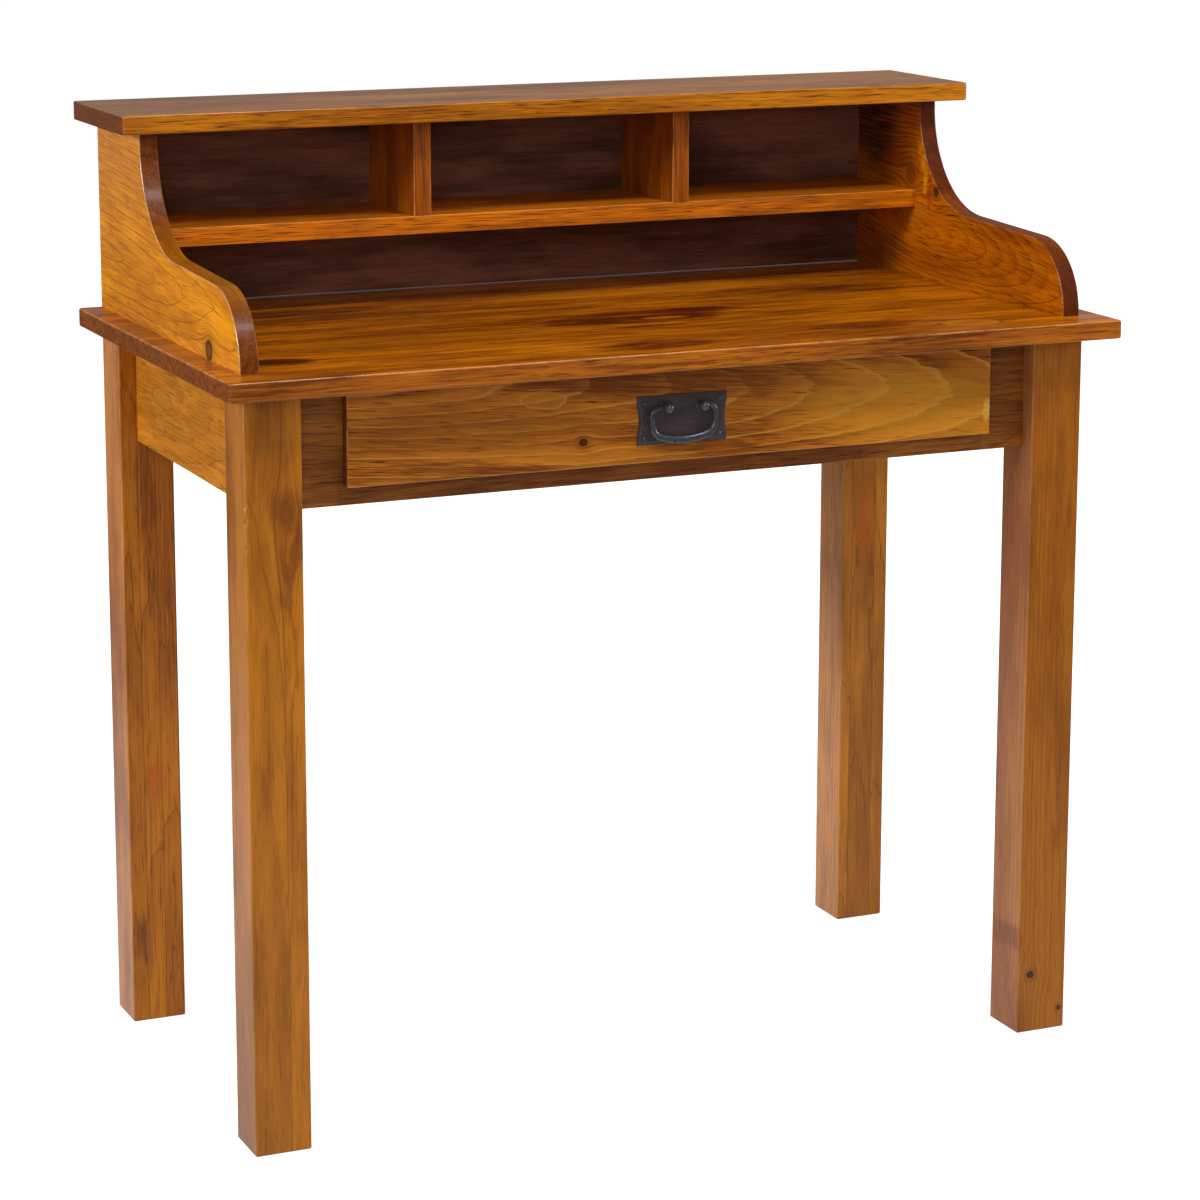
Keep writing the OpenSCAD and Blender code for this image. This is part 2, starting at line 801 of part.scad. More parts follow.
module drawer_bottom() {
    color(box_wood) difference() {
        block([-bottom_x, bottom_y, bottom_z], [bottom_x, box_back_y, bottom_z + bottom_t]);
        at_bottom_screws() screw_hole(bottom_screw_l, screw_d, screw_head_d);
    }
}

module drawer_pins() {
    color(steel) for (side = [left, right], y = [pin_front_y, pin_back_y])
        at_drawer_pins(side, y) cylinder(h = pin_l, d = pin_d);
}

module drawer_bottom_screws() {
    color(steel) at_bottom_screws() wood_screw(bottom_screw_l, screw_d, screw_head_d);
}

// Drawer pull

// Outline of the plate round its own middle, drawn in by a margin
module plate_outline(margin) {
    half_w = plate_w / 2;
    half_gap = plate_h / 2 - plate_ear_h;
    waist_r = (half_gap * half_gap + plate_waist * plate_waist) / (2 * plate_waist);
    difference() {
        translate([margin - half_w, margin - plate_h / 2])
            rounded_rect([plate_w - 2 * margin, plate_h - 2 * margin], plate_corner_r);
        for (side = [left, right])
            translate([side * (half_w + waist_r - plate_waist), 0])
                circle(waist_r + margin, $fn = 128);
    }
}

module pull_plate() {
    color(iron) difference() {
        translate([0, front_face_y, plate_z]) rotate([90, 0, 0]) {
            linear_extrude(plate_t) plate_outline(0);
            linear_extrude(plate_t + plate_face_h) plate_outline(plate_rim);
        }
        for (side = [left, right])
            translate([side * post_x, front_face_y + past, post_z]) rotate([90, 0, 0])
                cylinder(h = plate_t + 3 * past, d = shank_d + 2 * fit_gap);
        at_plate_nails() translate([0, 0, -past])
            cylinder(h = nail_l, d = nail_d + 2 * fit_gap);
    }
}

// Places of the nails, on the plate's face, with +Z turned into the wood
module at_plate_nails() {
    for (x = [-nail_x, nail_x], z = [-nail_z, nail_z])
        translate([x, plate_face_y, plate_z + z]) rotate([-90, 0, 0]) children();
}

module plate_nail() {
    head_r = nail_head_d / 2;
    ball_r = (head_r * head_r + nail_head_h * nail_head_h) / (2 * nail_head_h);
    cylinder(h = nail_l, d = nail_d);
    intersection() {
        translate([0, 0, ball_r - nail_head_h]) sphere(ball_r);
        translate([0, 0, -nail_head_h]) cylinder(h = nail_head_h, r = head_r);
    }
}

module pull_plate_nails() {
    color(iron) at_plate_nails() plate_nail();
}

// A post: threaded shank, neck with the pivot's cross hole, and round head
module pull_post(side) {
    ball_z = neck_l + post_head_d / 2 - post_head_cut;
    color(iron) translate([side * post_x, plate_face_y, post_z]) rotate([90, 0, 0])
        difference() {
            union() {
                translate([0, 0, -shank_l]) cylinder(h = shank_l + past, d = shank_d);
                cylinder(h = neck_l + past, d = neck_d);
                intersection() {
                    translate([0, 0, ball_z]) sphere(d = post_head_d);
                    translate([0, 0, neck_l]) cylinder(h = post_head_d, d = post_head_d + past);
                }
            }
            translate([-neck_d, 0, pivot_stand]) rotate([0, 90, 0])
                cylinder(h = 2 * neck_d, d = pivot_d + 2 * pivot_gap);
        }
}

module pull_nuts() {
    color(steel) for (side = [left, right])
        translate([side * post_x, front_back_y, post_z]) rotate([-90, 0, 0]) difference() {
            cylinder(h = nut_t, d = nut_w / cos(30), $fn = 6);
            translate([0, 0, -past]) cylinder(h = nut_t + 2 * past, d = shank_d + 2 * fit_gap);
        }
}

// Right half of the bail's centre line, from the middle of the grip up to the pivot.
// Each point is [x, z, length from the middle].
bottom_c = [0, bail_bottom_r - bail_drop];
corner_x = bail_half_w - bail_corner_r;
bend = asin(corner_x / (bail_bottom_r - bail_corner_r));
corner_c = [corner_x, bottom_c[1] - (bail_bottom_r - bail_corner_r) * cos(bend)];
shoulder_c = [bail_end_x, -bail_shoulder_r];
bottom_len = bail_bottom_r * bend * PI / 180;
corner_len = bail_corner_r * (90 - bend) * PI / 180;
straight_len = shoulder_c[1] - corner_c[1];
shoulder_len = bail_shoulder_r * PI / 2;
half_len = bottom_len + corner_len + straight_len + shoulder_len;

function arc_point(c, r, a, s) = [c[0] + r * cos(a), c[1] + r * sin(a), s];
bottom_pts = [for (i = [0:7]) let (k = i / 8)
    arc_point(bottom_c, bail_bottom_r, -90 + k * bend, k * bottom_len)];
corner_pts = [for (i = [0:9]) let (k = i / 9)
    arc_point(corner_c, bail_corner_r, -90 + bend + k * (90 - bend), bottom_len + k * corner_len)];
shoulder_pts = [for (i = [0:8]) let (k = i / 8)
    arc_point(shoulder_c, bail_shoulder_r, k * 90, half_len - (1 - k) * shoulder_len)];
half_line = concat(bottom_pts, corner_pts, shoulder_pts);
half_count = len(half_line);
bail_line = concat(
    [for (i = [half_count - 1:-1:1]) [-half_line[i][0], half_line[i][1], half_line[i][2]]],
    half_line);

// Half sizes of the section at a distance from the middle
function bail_taper(s) = 1 - pow(s / half_len, 2);
function bail_section(s) = [pivot_d / 2 + (bail_mid_w - pivot_d) / 2 * bail_taper(s),
    pivot_d / 2 + (bail_mid_t - pivot_d) / 2 * bail_taper(s)];

module bail_grip() {
    sides = 12;
    rings = len(bail_line);
    points = [for (i = [0:rings - 1])
        let (p = bail_line[i], before = bail_line[max(i - 1, 0)],
            after = bail_line[min(i + 1, rings - 1)],
            along = [after[0] - before[0], after[1] - before[1]] / norm([after[0] - before[0],
                after[1] - before[1]]),
            across = [along[1], -along[0]], half = bail_section(p[2]))
        for (j = [0:sides - 1]) let (a = 360 * j / sides)
            [p[0] + across[0] * half[0] * cos(a), half[1] * sin(a),
                p[1] + across[1] * half[0] * cos(a)]];
    walls = [for (i = [0:rings - 2], j = [0:sides - 1])
        let (a = i * sides + j, b = i * sides + (j + 1) % sides)
        each [[a, a + sides, b], [b, a + sides, b + sides]]];
    ends = [[for (j = [0:sides - 1]) j], [for (j = [sides - 1:-1:0]) (rings - 1) * sides + j]];
    polyhedron(points, concat(walls, ends));
}

module pull_bail() {
    color(iron) translate([0, pivot_y, post_z]) {
        bail_grip();
        for (side = [left, right])
            translate([side * pivot_end_x, 0, 0]) rotate([0, 90 * side, 0])
                cylinder(h = bail_end_x - pivot_end_x + pivot_lap, d = pivot_d);
    }
}

worktop();
leg(left, -1);  // leg_front_left
leg(right, -1);  // leg_front_right
leg(left, 1);  // leg_back_left
leg(right, 1);  // leg_back_right
front_apron();
back_apron();
side_apron(left);  // left_apron
side_apron(right);  // right_apron
runner(left);  // runner_left
runner(right);  // runner_right
kicker(left);  // kicker_left
kicker(right);  // kicker_right
top_buttons();
top_button_screws();
rack_side(left);  // rack_side_left
rack_side(right);  // rack_side_right
rack_shelf();
rack_divider(left);  // rack_divider_left
rack_divider(right);  // rack_divider_right
rack_cap();
rack_back();
rack_side_screws();
rack_cap_dowels();
rack_back_screws();
drawer_front();
drawer_side(left);  // drawer_side_left
drawer_side(right);  // drawer_side_right
drawer_back();
drawer_bottom();
drawer_pins();
drawer_bottom_screws();
pull_plate();
pull_plate_nails();
pull_post(left);  // pull_post_left
pull_post(right);  // pull_post_right
pull_nuts();
pull_bail();
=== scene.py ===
"""Dresses the postmaster desk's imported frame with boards, finishes and studio light.

Everything is in metres in the frame's own axes: +Z up, the front towards -Y.
"""

from __future__ import annotations

import logging
import math
from dataclasses import dataclass
from enum import Enum
from itertools import accumulate
from types import SimpleNamespace
from typing import Callable, Iterable, Sequence

import bmesh
import bpy
from bmesh.types import BMEdge, BMFace, BMVert
from mathutils import Matrix, Vector, noise


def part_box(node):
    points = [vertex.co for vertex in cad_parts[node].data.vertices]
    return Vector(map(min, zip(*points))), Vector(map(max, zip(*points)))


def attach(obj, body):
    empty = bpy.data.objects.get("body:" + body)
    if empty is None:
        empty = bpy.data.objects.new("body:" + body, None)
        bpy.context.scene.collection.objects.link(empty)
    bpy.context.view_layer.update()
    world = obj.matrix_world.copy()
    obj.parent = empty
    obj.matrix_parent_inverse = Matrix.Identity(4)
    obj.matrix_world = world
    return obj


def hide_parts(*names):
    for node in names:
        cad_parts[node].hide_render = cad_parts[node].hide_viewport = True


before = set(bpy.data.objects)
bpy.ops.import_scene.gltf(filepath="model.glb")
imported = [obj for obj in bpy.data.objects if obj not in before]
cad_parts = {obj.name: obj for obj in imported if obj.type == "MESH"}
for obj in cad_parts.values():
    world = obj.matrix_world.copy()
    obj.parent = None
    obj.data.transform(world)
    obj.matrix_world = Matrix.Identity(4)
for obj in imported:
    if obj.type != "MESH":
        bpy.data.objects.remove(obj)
log = logging.getLogger("postmaster_desk")

Point = tuple[float, float, float]
TOUCH = 1e-6
JOINT_SHADE = (0.02, 0.006, 0.002, 1.0)
KNOT_RIM = "#2A0F04"
KNOT_COLLAR = 0.35
EYE_INSIDE, EYE_RING = 0.8, 0.7
END_STAIN = 0.9
DRY_END = 0.12
GRAIN_RELIEF = (0.12, 0.0006)
IRON_RELIEF = (0.1, 0.0002)
EDGE_RUB = 0.5
SOFT_SHARE = 0.25
CREASE = 38.0
SOCKET_KINDS = {"Vector": "Vector"} | dict.fromkeys(("Color", "Pale", "Light", "Mid", "Dark", "Line Tone"), "Color")


def srgb(code: str) -> tuple[float, float, float, float]:
    """Turns a colour written as #RRGGBB into the linear values that the shaders use.

    Args:
        code: The colour as it looks on a screen.

    Returns:
        Linear red, green, blue and an alpha of one.
    """
    shares = [int(code[i : i + 2], 16) / 255 for i in (1, 3, 5)]
    linear = [s / 12.92 if s <= 0.04045 else ((s + 0.055) / 1.055) ** 2.4 for s in shares]
    return (*linear, 1.0)


def add_object(name: str, data: bpy.types.ID) -> bpy.types.Object:
    """Puts an object into the scene.

    Args:
        name: Its name.
        data: Its mesh, lamp or camera.

    Returns:
        The object.
    """
    made = bpy.data.objects.new(name, data)
    bpy.context.scene.collection.objects.link(made)
    return made


class Axis(Enum):
    """The frame axis that a board's grain, width or thickness follows."""

    X = 0
    Y = 1
    Z = 2


class Body(Enum):
    """The three bodies that move against each other."""

    DESK = "desk"
    DRAWER = "drawer"
    BAIL = "bail"


class Wire:
    """An output in a node tree, on which plain arithmetic lays out Math nodes."""

    def __init__(self, graph: Graph, socket: bpy.types.NodeSocket) -> None:
        """Holds the socket and the graph that it is in."""
        self.graph, self.socket = graph, socket

    def __add__(self, other: Value) -> Wire:
        """Adds a value."""
        return self.graph.math("ADD", self, other)

    def __sub__(self, other: Value) -> Wire:
        """Takes a value away."""
        return self.graph.math("SUBTRACT", self, other)

    def __rsub__(self, other: Value) -> Wire:
        """Takes this away from a value."""
        return self.graph.math("SUBTRACT", other, self)

    def __mul__(self, other: Value) -> Wire:
        """Multiplies by a value."""
        return self.graph.math("MULTIPLY", self, other)

    def __truediv__(self, other: Value) -> Wire:
        """Divides by a value."""
        return self.graph.math("DIVIDE", self, other)

    def __abs__(self) -> Wire:
        """Drops the sign."""
        return self.graph.math("ABSOLUTE", self)

    def beside(self) -> list[Wire]:
        """Lists all the outputs of this one's node."""
        return [Wire(self.graph, socket) for socket in self.socket.node.outputs]

    def step(self, lo: float, hi: float, start: float = 0.0, end: float = 1.0) -> Wire:
        """Maps a range smoothly onto another and holds it at the ends.

        Args:
            lo: Where the smooth step starts.
            hi: Where it ends.
            start: The result up to lo.
            end: The result from hi on.

        Returns:
            The mapped value.
        """
        inputs = dict(enumerate((self, lo, hi, start, end)))
        return self.graph.node("MapRange", inputs, interpolation_type="SMOOTHSTEP")

    def band(self, rise: tuple[float, float], fall: tuple[float, float]) -> Wire:
        """Makes a value that rises over one range and falls over the next."""
        return self.step(*rise) * self.step(*fall, 1.0, 0.0)


Value = float | str | Sequence[float] | Wire


def by_name(wires: Iterable[Wire]) -> SimpleNamespace:
    """Collects wires under their sockets' names, in small letters and with underscores."""
    return SimpleNamespace(**{w.socket.name.lower().replace(" ", "_"): w for w in wires if w.socket.name})


class Graph:
    """Lays out the nodes of a material, a world or a node group."""

    def __init__(self, tree: bpy.types.NodeTree) -> None:
        """Starts with an empty tree."""
        self.tree = tree
        tree.nodes.clear()

    def feed(self, target: bpy.types.NodeSocket, source: Value) -> None:
        """Links a socket, or sets its value where the source is a plain one.

        Args:
            target: The socket.
            source: A wire, a number, a vector, or a colour written as #RRGGBB.
        """
        if isinstance(source, Wire):
            self.tree.links.new(source.socket, target)
        else:
            target.default_value = srgb(source) if isinstance(source, str) else source

    def node(self, kind: str, inputs: dict[str | int, Value], output: str | int = 0, **settings: object) -> Wire:
        """Adds a node.

        Args:
            kind: The node's type without its ShaderNode prefix.
            inputs: What feeds its sockets.
            output: Which of its outputs is wanted.
            **settings: Properties to set on it.

        Returns:
            The wanted output.
        """
        node = self.tree.nodes.new("ShaderNode" + kind)
        for name, value in settings.items():
            setattr(node, name, value)
        for name, source in inputs.items():
            self.feed(node.inputs[name], source)
        return Wire(self, node.outputs[output])

    def read(self, kind: str, output: str, **settings: object) -> Wire:
        """Adds a node that needs nothing fed."""
        return self.node(kind, {}, output, **settings)

    def end(self, shader: Wire, kind: str = "OutputMaterial") -> None:
        """Ends the tree with a shader."""
        self.feed(self.tree.nodes.new("ShaderNode" + kind).inputs[0], shader)

    def math(self, operation: str, a: Value, b: Value = 0.0) -> Wire:
        """Adds a Math node."""
        return self.node("Math", {0: a, 1: b}, operation=operation)

    def mix(self, factor: Value, a: Value, b: Value) -> Wire:
        """Mixes two colours."""
        return self.node("Mix", {0: factor, 6: a, 7: b}, 2, data_type="RGBA")

    def blend(self, factor: Value, a: Value, b: Value) -> Wire:
        """Mixes two numbers."""
        return self.node("Mix", {0: factor, 2: a, 3: b}, data_type="FLOAT")

    def shade(self, color: Value, value: Value, saturation: Value = 1.0) -> Wire:
        """Makes a colour lighter or darker, and stronger or duller."""
        return self.node("HueSaturation", {"Color": color, "Value": value, "Saturation": saturation})

    def split(self, vector: Value) -> list[Wire]:
        """Splits a vector into its three parts."""
        return self.node("SeparateXYZ", {0: vector}).beside()

    def join(self, x: Value, y: Value, z: Value) -> Wire:
        """Joins three values into a vector."""
        return self.node("CombineXYZ", {0: x, 1: y, 2: z})

    def length(self, x: Wire, y: Wire) -> Wire:
        """Measures the long side of a right-angled triangle."""
        return self.math("SQRT", x * x + y * y)

    def chance(self, seed: Value) -> SimpleNamespace:
        """Draws a value and a color that hang on the seed alone."""
        return by_name(self.node("TexWhiteNoise", {"W": seed}, noise_dimensions="1D").beside())

    def noise(
        self, place: Wire, seed: Value, scale: float | Point = 1.0, detail: float = 2.0, rough: float = 0.5
    ) -> Wire:
        """Adds seeded noise.

        Args:
            place: Where it is read.
            seed: Its fourth coordinate.
            scale: How many features there are to a metre, or to a metre along each axis.
            detail: How many finer layers are added.
            rough: How strong those layers are.

        Returns:
            The noise's value, from zero to one.
        """
        if not isinstance(scale, float):
            place, scale = self.node("VectorMath", {0: place, 1: scale}, operation="MULTIPLY"), 1.0
        inputs = {"Vector": place, "W": seed, "Scale": scale, "Detail": detail, "Roughness": rough}
        return self.node("TexNoise", inputs, "Fac", noise_dimensions="4D")

    def relief(self, height: Wire, strength: float, distance: float) -> Wire:
        """Turns a height into the bumped normal."""
        return self.node("Bump", {"Height": height, "Strength": strength, "Distance": distance})

    def mirrored(self) -> Wire:
        """Tells the rays that gloss and glass send out from the rest."""
        return self.math("MAXIMUM", *(self.read("LightPath", f"Is {kind} Ray") for kind in ("Glossy", "Transmission")))

    def group(self, tree: bpy.types.NodeTree, settings: object = None, **given: Value) -> SimpleNamespace:
        """Places a node group.

        Args:
            tree: The group.
            settings: A finish or a mark, whose fields feed the inputs of the same names.
            **given: What feeds the other inputs.

        Returns:
            The group's outputs by name.
        """
        placed = self.node("Group", {}, node_tree=tree)
        for socket in placed.socket.node.inputs:
            name = socket.name.lower().replace(" ", "_")
            self.feed(socket, given[name] if name in given else getattr(settings, name))
        return by_name(placed.beside())


class GroupGraph(Graph):
    """Lays out the inside of a shared node group."""

    def __init__(self, name: str, inputs: str) -> None:
        """Starts the group.

        Args:
            name: Its name.
            inputs: The names of its inputs, with commas between them.
        """
        super().__init__(bpy.data.node_groups.new(name, "ShaderNodeTree"))
        for label in inputs.split(", "):
            self.add_socket(label, "INPUT")
        entry = self.tree.nodes.new("NodeGroupInput")
        self.given = by_name(Wire(self, socket) for socket in entry.outputs)

    def add_socket(self, label: str, way: str) -> None:
        """Adds a named input or output to the group."""
        kind = "NodeSocket" + SOCKET_KINDS.get(label, "Float")
        self.tree.interface.new_socket(name=label, in_out=way, socket_type=kind)

    def give(self, **results: Value) -> bpy.types.NodeTree:
        """Makes and feeds the group's outputs.

        Args:
            **results: What each output puts out.

        Returns:
            The finished group.
        """
        for label in results:
            self.add_socket(label.title(), "OUTPUT")
        leave = self.tree.nodes.new("NodeGroupOutput")
        for socket, source in zip(leave.inputs, results.values()):
            self.feed(socket, source)
        return self.tree

    def spread(self) -> Wire:
        """Measures how far the place is from a mark's middle, in the mark's own lengths and widths.

        Returns:
            The distance, which is one on the mark's outline.
        """
        given = self.given
        x, y, _ = self.split(given.vector)
        return self.length((x - given.along) / given.length, (y - given.across) / given.width)


def knot_flow_group() -> bpy.types.NodeTree:
    """Makes the group that bends the grain round a knot.

    Returns:
        A group that puts out the bent place, the knot's core, its dark rim and the stain gathered round it.
    """
    graph = GroupGraph("Grain Round Knot", "Vector, Along, Across, Radius, Stretch, Reach")
    given = graph.given
    x, y, z = graph.split(given.vector)
    dx, dy = (x - given.along) / given.stretch, y - given.across
    square = dx * dx + dy * dy
    reach = graph.math("POWER", given.radius * given.reach, 2.0)
    pushed = dy * (square / (square + reach))
    far = graph.math("SQRT", square) / given.radius + graph.noise(given.vector, 3.0, 260.0) * 0.4
    return graph.give(
        vector=graph.join(x, given.across + pushed, z),
        core=far.step(1.0, 1.25, 1.0, 0.0),
        rim=far.band((0.8, 1.1), (1.2, 1.45)),
        collar=far.step(1.2, 3.2, 1.0, 0.0),
    )


def timber_figure_group() -> bpy.types.NodeTree:
    """Makes the group that cuts a board out of a log: rings, fibre and slow colour changes.

    Returns:
        A group that puts out masks from zero to one.
    """
    graph = GroupGraph(
        "Timber Figure",
        "Vector, Pith Across, Pith Depth, Lean, Ring Width, Wander, Feather, Even, Board Width, Board Shift, Seed",
    )
    given = graph.given
    seed, width, lean = given.seed, given.board_width, given.lean
    x, y, z = graph.split(given.vector)

    # Each board of a glued-up panel gets its own pith and its own stretch of the log
    place = (y + given.board_shift) / width
    index = graph.math("FLOOR", place)
    board = graph.chance(index + seed)
    lots = graph.split(board.color)
    into = place - index
    to_edge = graph.math("MINIMUM", into, 1.0 - into) * width
    own_middle = (index + 0.5) * width - given.board_shift + (lots[0] - 0.5) * (width * 0.9)
    centre = given.pith_across + graph.math("LESS_THAN", width, 1.0) * own_middle
    spot = graph.join(x + lots[1] * 4.0, y, z)

    # The place's distance from a pith that leans and wanders gives the rings
    bend_y, bend_z = (graph.noise(spot, s, (2.6, 13.0, 13.0)) - 0.5 for s in (seed, seed + 7.0))
    off_y = y + bend_y * given.wander - centre
    off_z = z + bend_z * given.wander + (given.pith_depth + x * lean)
    feather = (graph.noise(spot, seed, (26.0, 300.0, 300.0)) - 0.5) * given.feather
    off = graph.length(off_y, off_z) + feather
    ripple = (graph.noise(spot, seed, (11.0, 60.0, 60.0), detail=3.0) - 0.5) * 0.14
    turns = off / given.ring_width + ripple * 4.0
    grown = graph.math("FRACT", turns)
    vigour = graph.chance(graph.math("FLOOR", turns) + seed).value.step(0.0, 1.0, 0.25, 1.0)

    # The line of a year is kept as thin where the cut is slanting as where it is square
    steep = graph.length(off_y, off_z * lean) / off
    past = abs(grown * given.ring_width) / ((steep - 1.0) * given.even + 1.0)
    pores = graph.noise(spot, seed + 5.0, (32.0, 900.0, 900.0), detail=1.0)
    return graph.give(
        late=grown.step(0.3, 1.0) * vigour,
        line=past.band((0.0, 0.0002), (0.0006, 0.0018)) * vigour.step(0.15, 0.5, 0.3, 1.0),
        fibre=graph.noise(spot, seed, (18.0, 640.0, 640.0), rough=0.6),
        streak=graph.noise(spot, seed, (5.0, 130.0, 130.0), detail=3.0, rough=0.65),
        pores=pores.step(0.60, 0.70),
        cloud=graph.noise(spot, seed + 3.0, (3.4, 17.0, 17.0), detail=4.0, rough=0.6),
        board=board.value,
        joint=to_edge.step(0.0001, 0.0007, 1.0, 0.0),
    )


def stain_group() -> bpy.types.NodeTree:
    """Makes the group that turns the figure's masks into a stained colour, its gloss and its relief.

    Returns:
        A group with a colour, a roughness and a height.
    """
    graph = GroupGraph(
        "Rubbed Stain",
        "Light, Mid, Dark, Line Tone, Late, Line, Fibre, Streak, Pores, Cloud, Board, Joint, "
        "Rings, Lines, Fibres, Streaks, Variety, Rough",
    )
    given = graph.given
    tone = graph.mix(given.cloud.step(0.38, 0.62), given.light, given.mid)
    coats = (
        (given.streak.step(0.48, 0.70) * given.streaks, given.dark),
        (given.late * given.rings, given.dark),
        (given.fibre.step(0.53, 0.66) * given.fibres, given.dark),
        (given.fibre.step(0.45, 0.34) * given.fibres, given.light),
        (given.pores * given.fibres.step(0.0, 0.7), given.dark),
        (given.line * given.lines, given.line_tone),
    )
    for mask, over in coats:
        tone = graph.mix(mask, tone, over)
    tone = graph.shade(tone, (given.board - 0.5) * given.variety + 1.0)
    return graph.give(
        color=graph.mix(given.joint * 0.45, tone, JOINT_SHADE),
        roughness=given.rough + (given.fibre - 0.5) * 0.22,
        height=given.late * 0.35 + given.fibre - given.joint * 1.5,
    )


def patch_group() -> bpy.types.NodeTree:
    """Makes the group that masks a ragged, soft patch that lies along the grain.

    Returns:
        A group with one mask.
    """
    graph = GroupGraph("Ragged Patch", "Vector, Along, Across, Length, Width, Ragged, Seed")
    given = graph.given
    torn = graph.noise(given.vector, given.seed, (20.0, 190.0, 190.0), detail=4.0, rough=0.7)
    far = graph.spread() + (torn - 0.5) * given.ragged
    return graph.give(mask=far.step(0.45, 1.05, 1.0, 0.0))


def eye_group() -> bpy.types.NodeTree:
    """Makes the group that masks a closed ring of grain, where the cut just touches a year's layer.

    Returns:
        A group with the ring's inside and its line.
    """
    graph = GroupGraph("Grain Eye", "Vector, Along, Across, Length, Width")
    wavy = graph.noise(graph.given.vector, 2.0, (40.0, 90.0, 90.0))
    far = graph.spread() + (wavy - 0.5) * 0.7
    inside = far.step(0.3, 1.0, 0.45, 1.0) * far.step(1.0, 1.05, 1.0, 0.0)
    return graph.give(inside=inside, ring=far.band((0.9, 0.98), (1.0, 1.1)))


def arris_wear_and_highlight_group() -> bpy.types.NodeTree:
    """Makes the group that rubs the stain pale along the eased edges: on the boards partly wear and partly a painted
    highlight line.

    Returns:
        A group with a colour.
    """
    graph = GroupGraph("Rubbed Arris And Painted Highlight", "Color, Pale, Arris, Vector, Strength")
    given = graph.given
    mask = given.arris * graph.noise(given.vector, 5.0, 45.0, detail=4.0, rough=0.7).step(0.3, 0.62)
    return graph.give(color=graph.mix(mask * given.strength, given.color, given.pale))


class Palette:
    """The node groups that the finishes share, and the materials made so far."""

    def __init__(self) -> None:
        """Makes the groups."""
        self.knot = knot_flow_group()
        self.figure = timber_figure_group()
        self.stain = stain_group()
        self.patch = patch_group()
        self.eye = eye_group()
        self.arris = arris_wear_and_highlight_group()
        self.made: dict[str, bpy.types.Material] = {}

    def material(self, finish: Finish) -> bpy.types.Material:
        """Hands out a finish's material, which is made once.

        Args:
            finish: The finish.

        Returns:
            Its material.
        """
        if finish.name not in self.made:
            self.made[finish.name] = finish.build(self)
        return self.made[finish.name]


@dataclass(frozen=True)
class Mark:
    """A place on a board's face, along and across its grain."""

    along: float
    across: float


@dataclass(frozen=True)
class Knot(Mark):
    """A knot, and how far it bends the grain."""

    radius: float
    stretch: float = 1.0
    core: str = "#4A200A"
    reach: float = 2.4
    rim: float = 0.8


@dataclass(frozen=True)
class Patch(Mark):
    """A patch of another tone: mostly in the wood, in a few places painted shade."""

    length: float
    width: float
    tone: str
    strength: float = 0.8
    ragged: float = 1.4


@dataclass(frozen=True)
class Eye(Mark):
    """A closed ring of grain."""

    length: float
    width: float
    inside: str
    ring: str


@dataclass(frozen=True)
class Finish:
    """A finish with a material of its own."""

    name: str
    slot = ""
    shine = 0.5

    def surface(self, graph: Graph, palette: Palette) -> dict[str, Value]:
        """Tells what feeds the shader's sockets.

        Args:
            graph: The material's graph.
            palette: The shared node groups.

        Returns:
            What feeds each socket.
        """
        raise NotImplementedError

    def build(self, palette: Palette) -> bpy.types.Material:
        """Makes the finish's material.

        Args:
            palette: The shared node groups.

        Returns:
            The material.
        """
        material = bpy.data.materials.new(self.name)
        material.use_nodes = True
        graph = Graph(material.node_tree)
        shader = graph.node("BsdfPrincipled", self.surface(graph, palette))
        shader.socket.node.inputs["Specular IOR Level"].default_value = self.shine
        graph.end(shader)
        return material


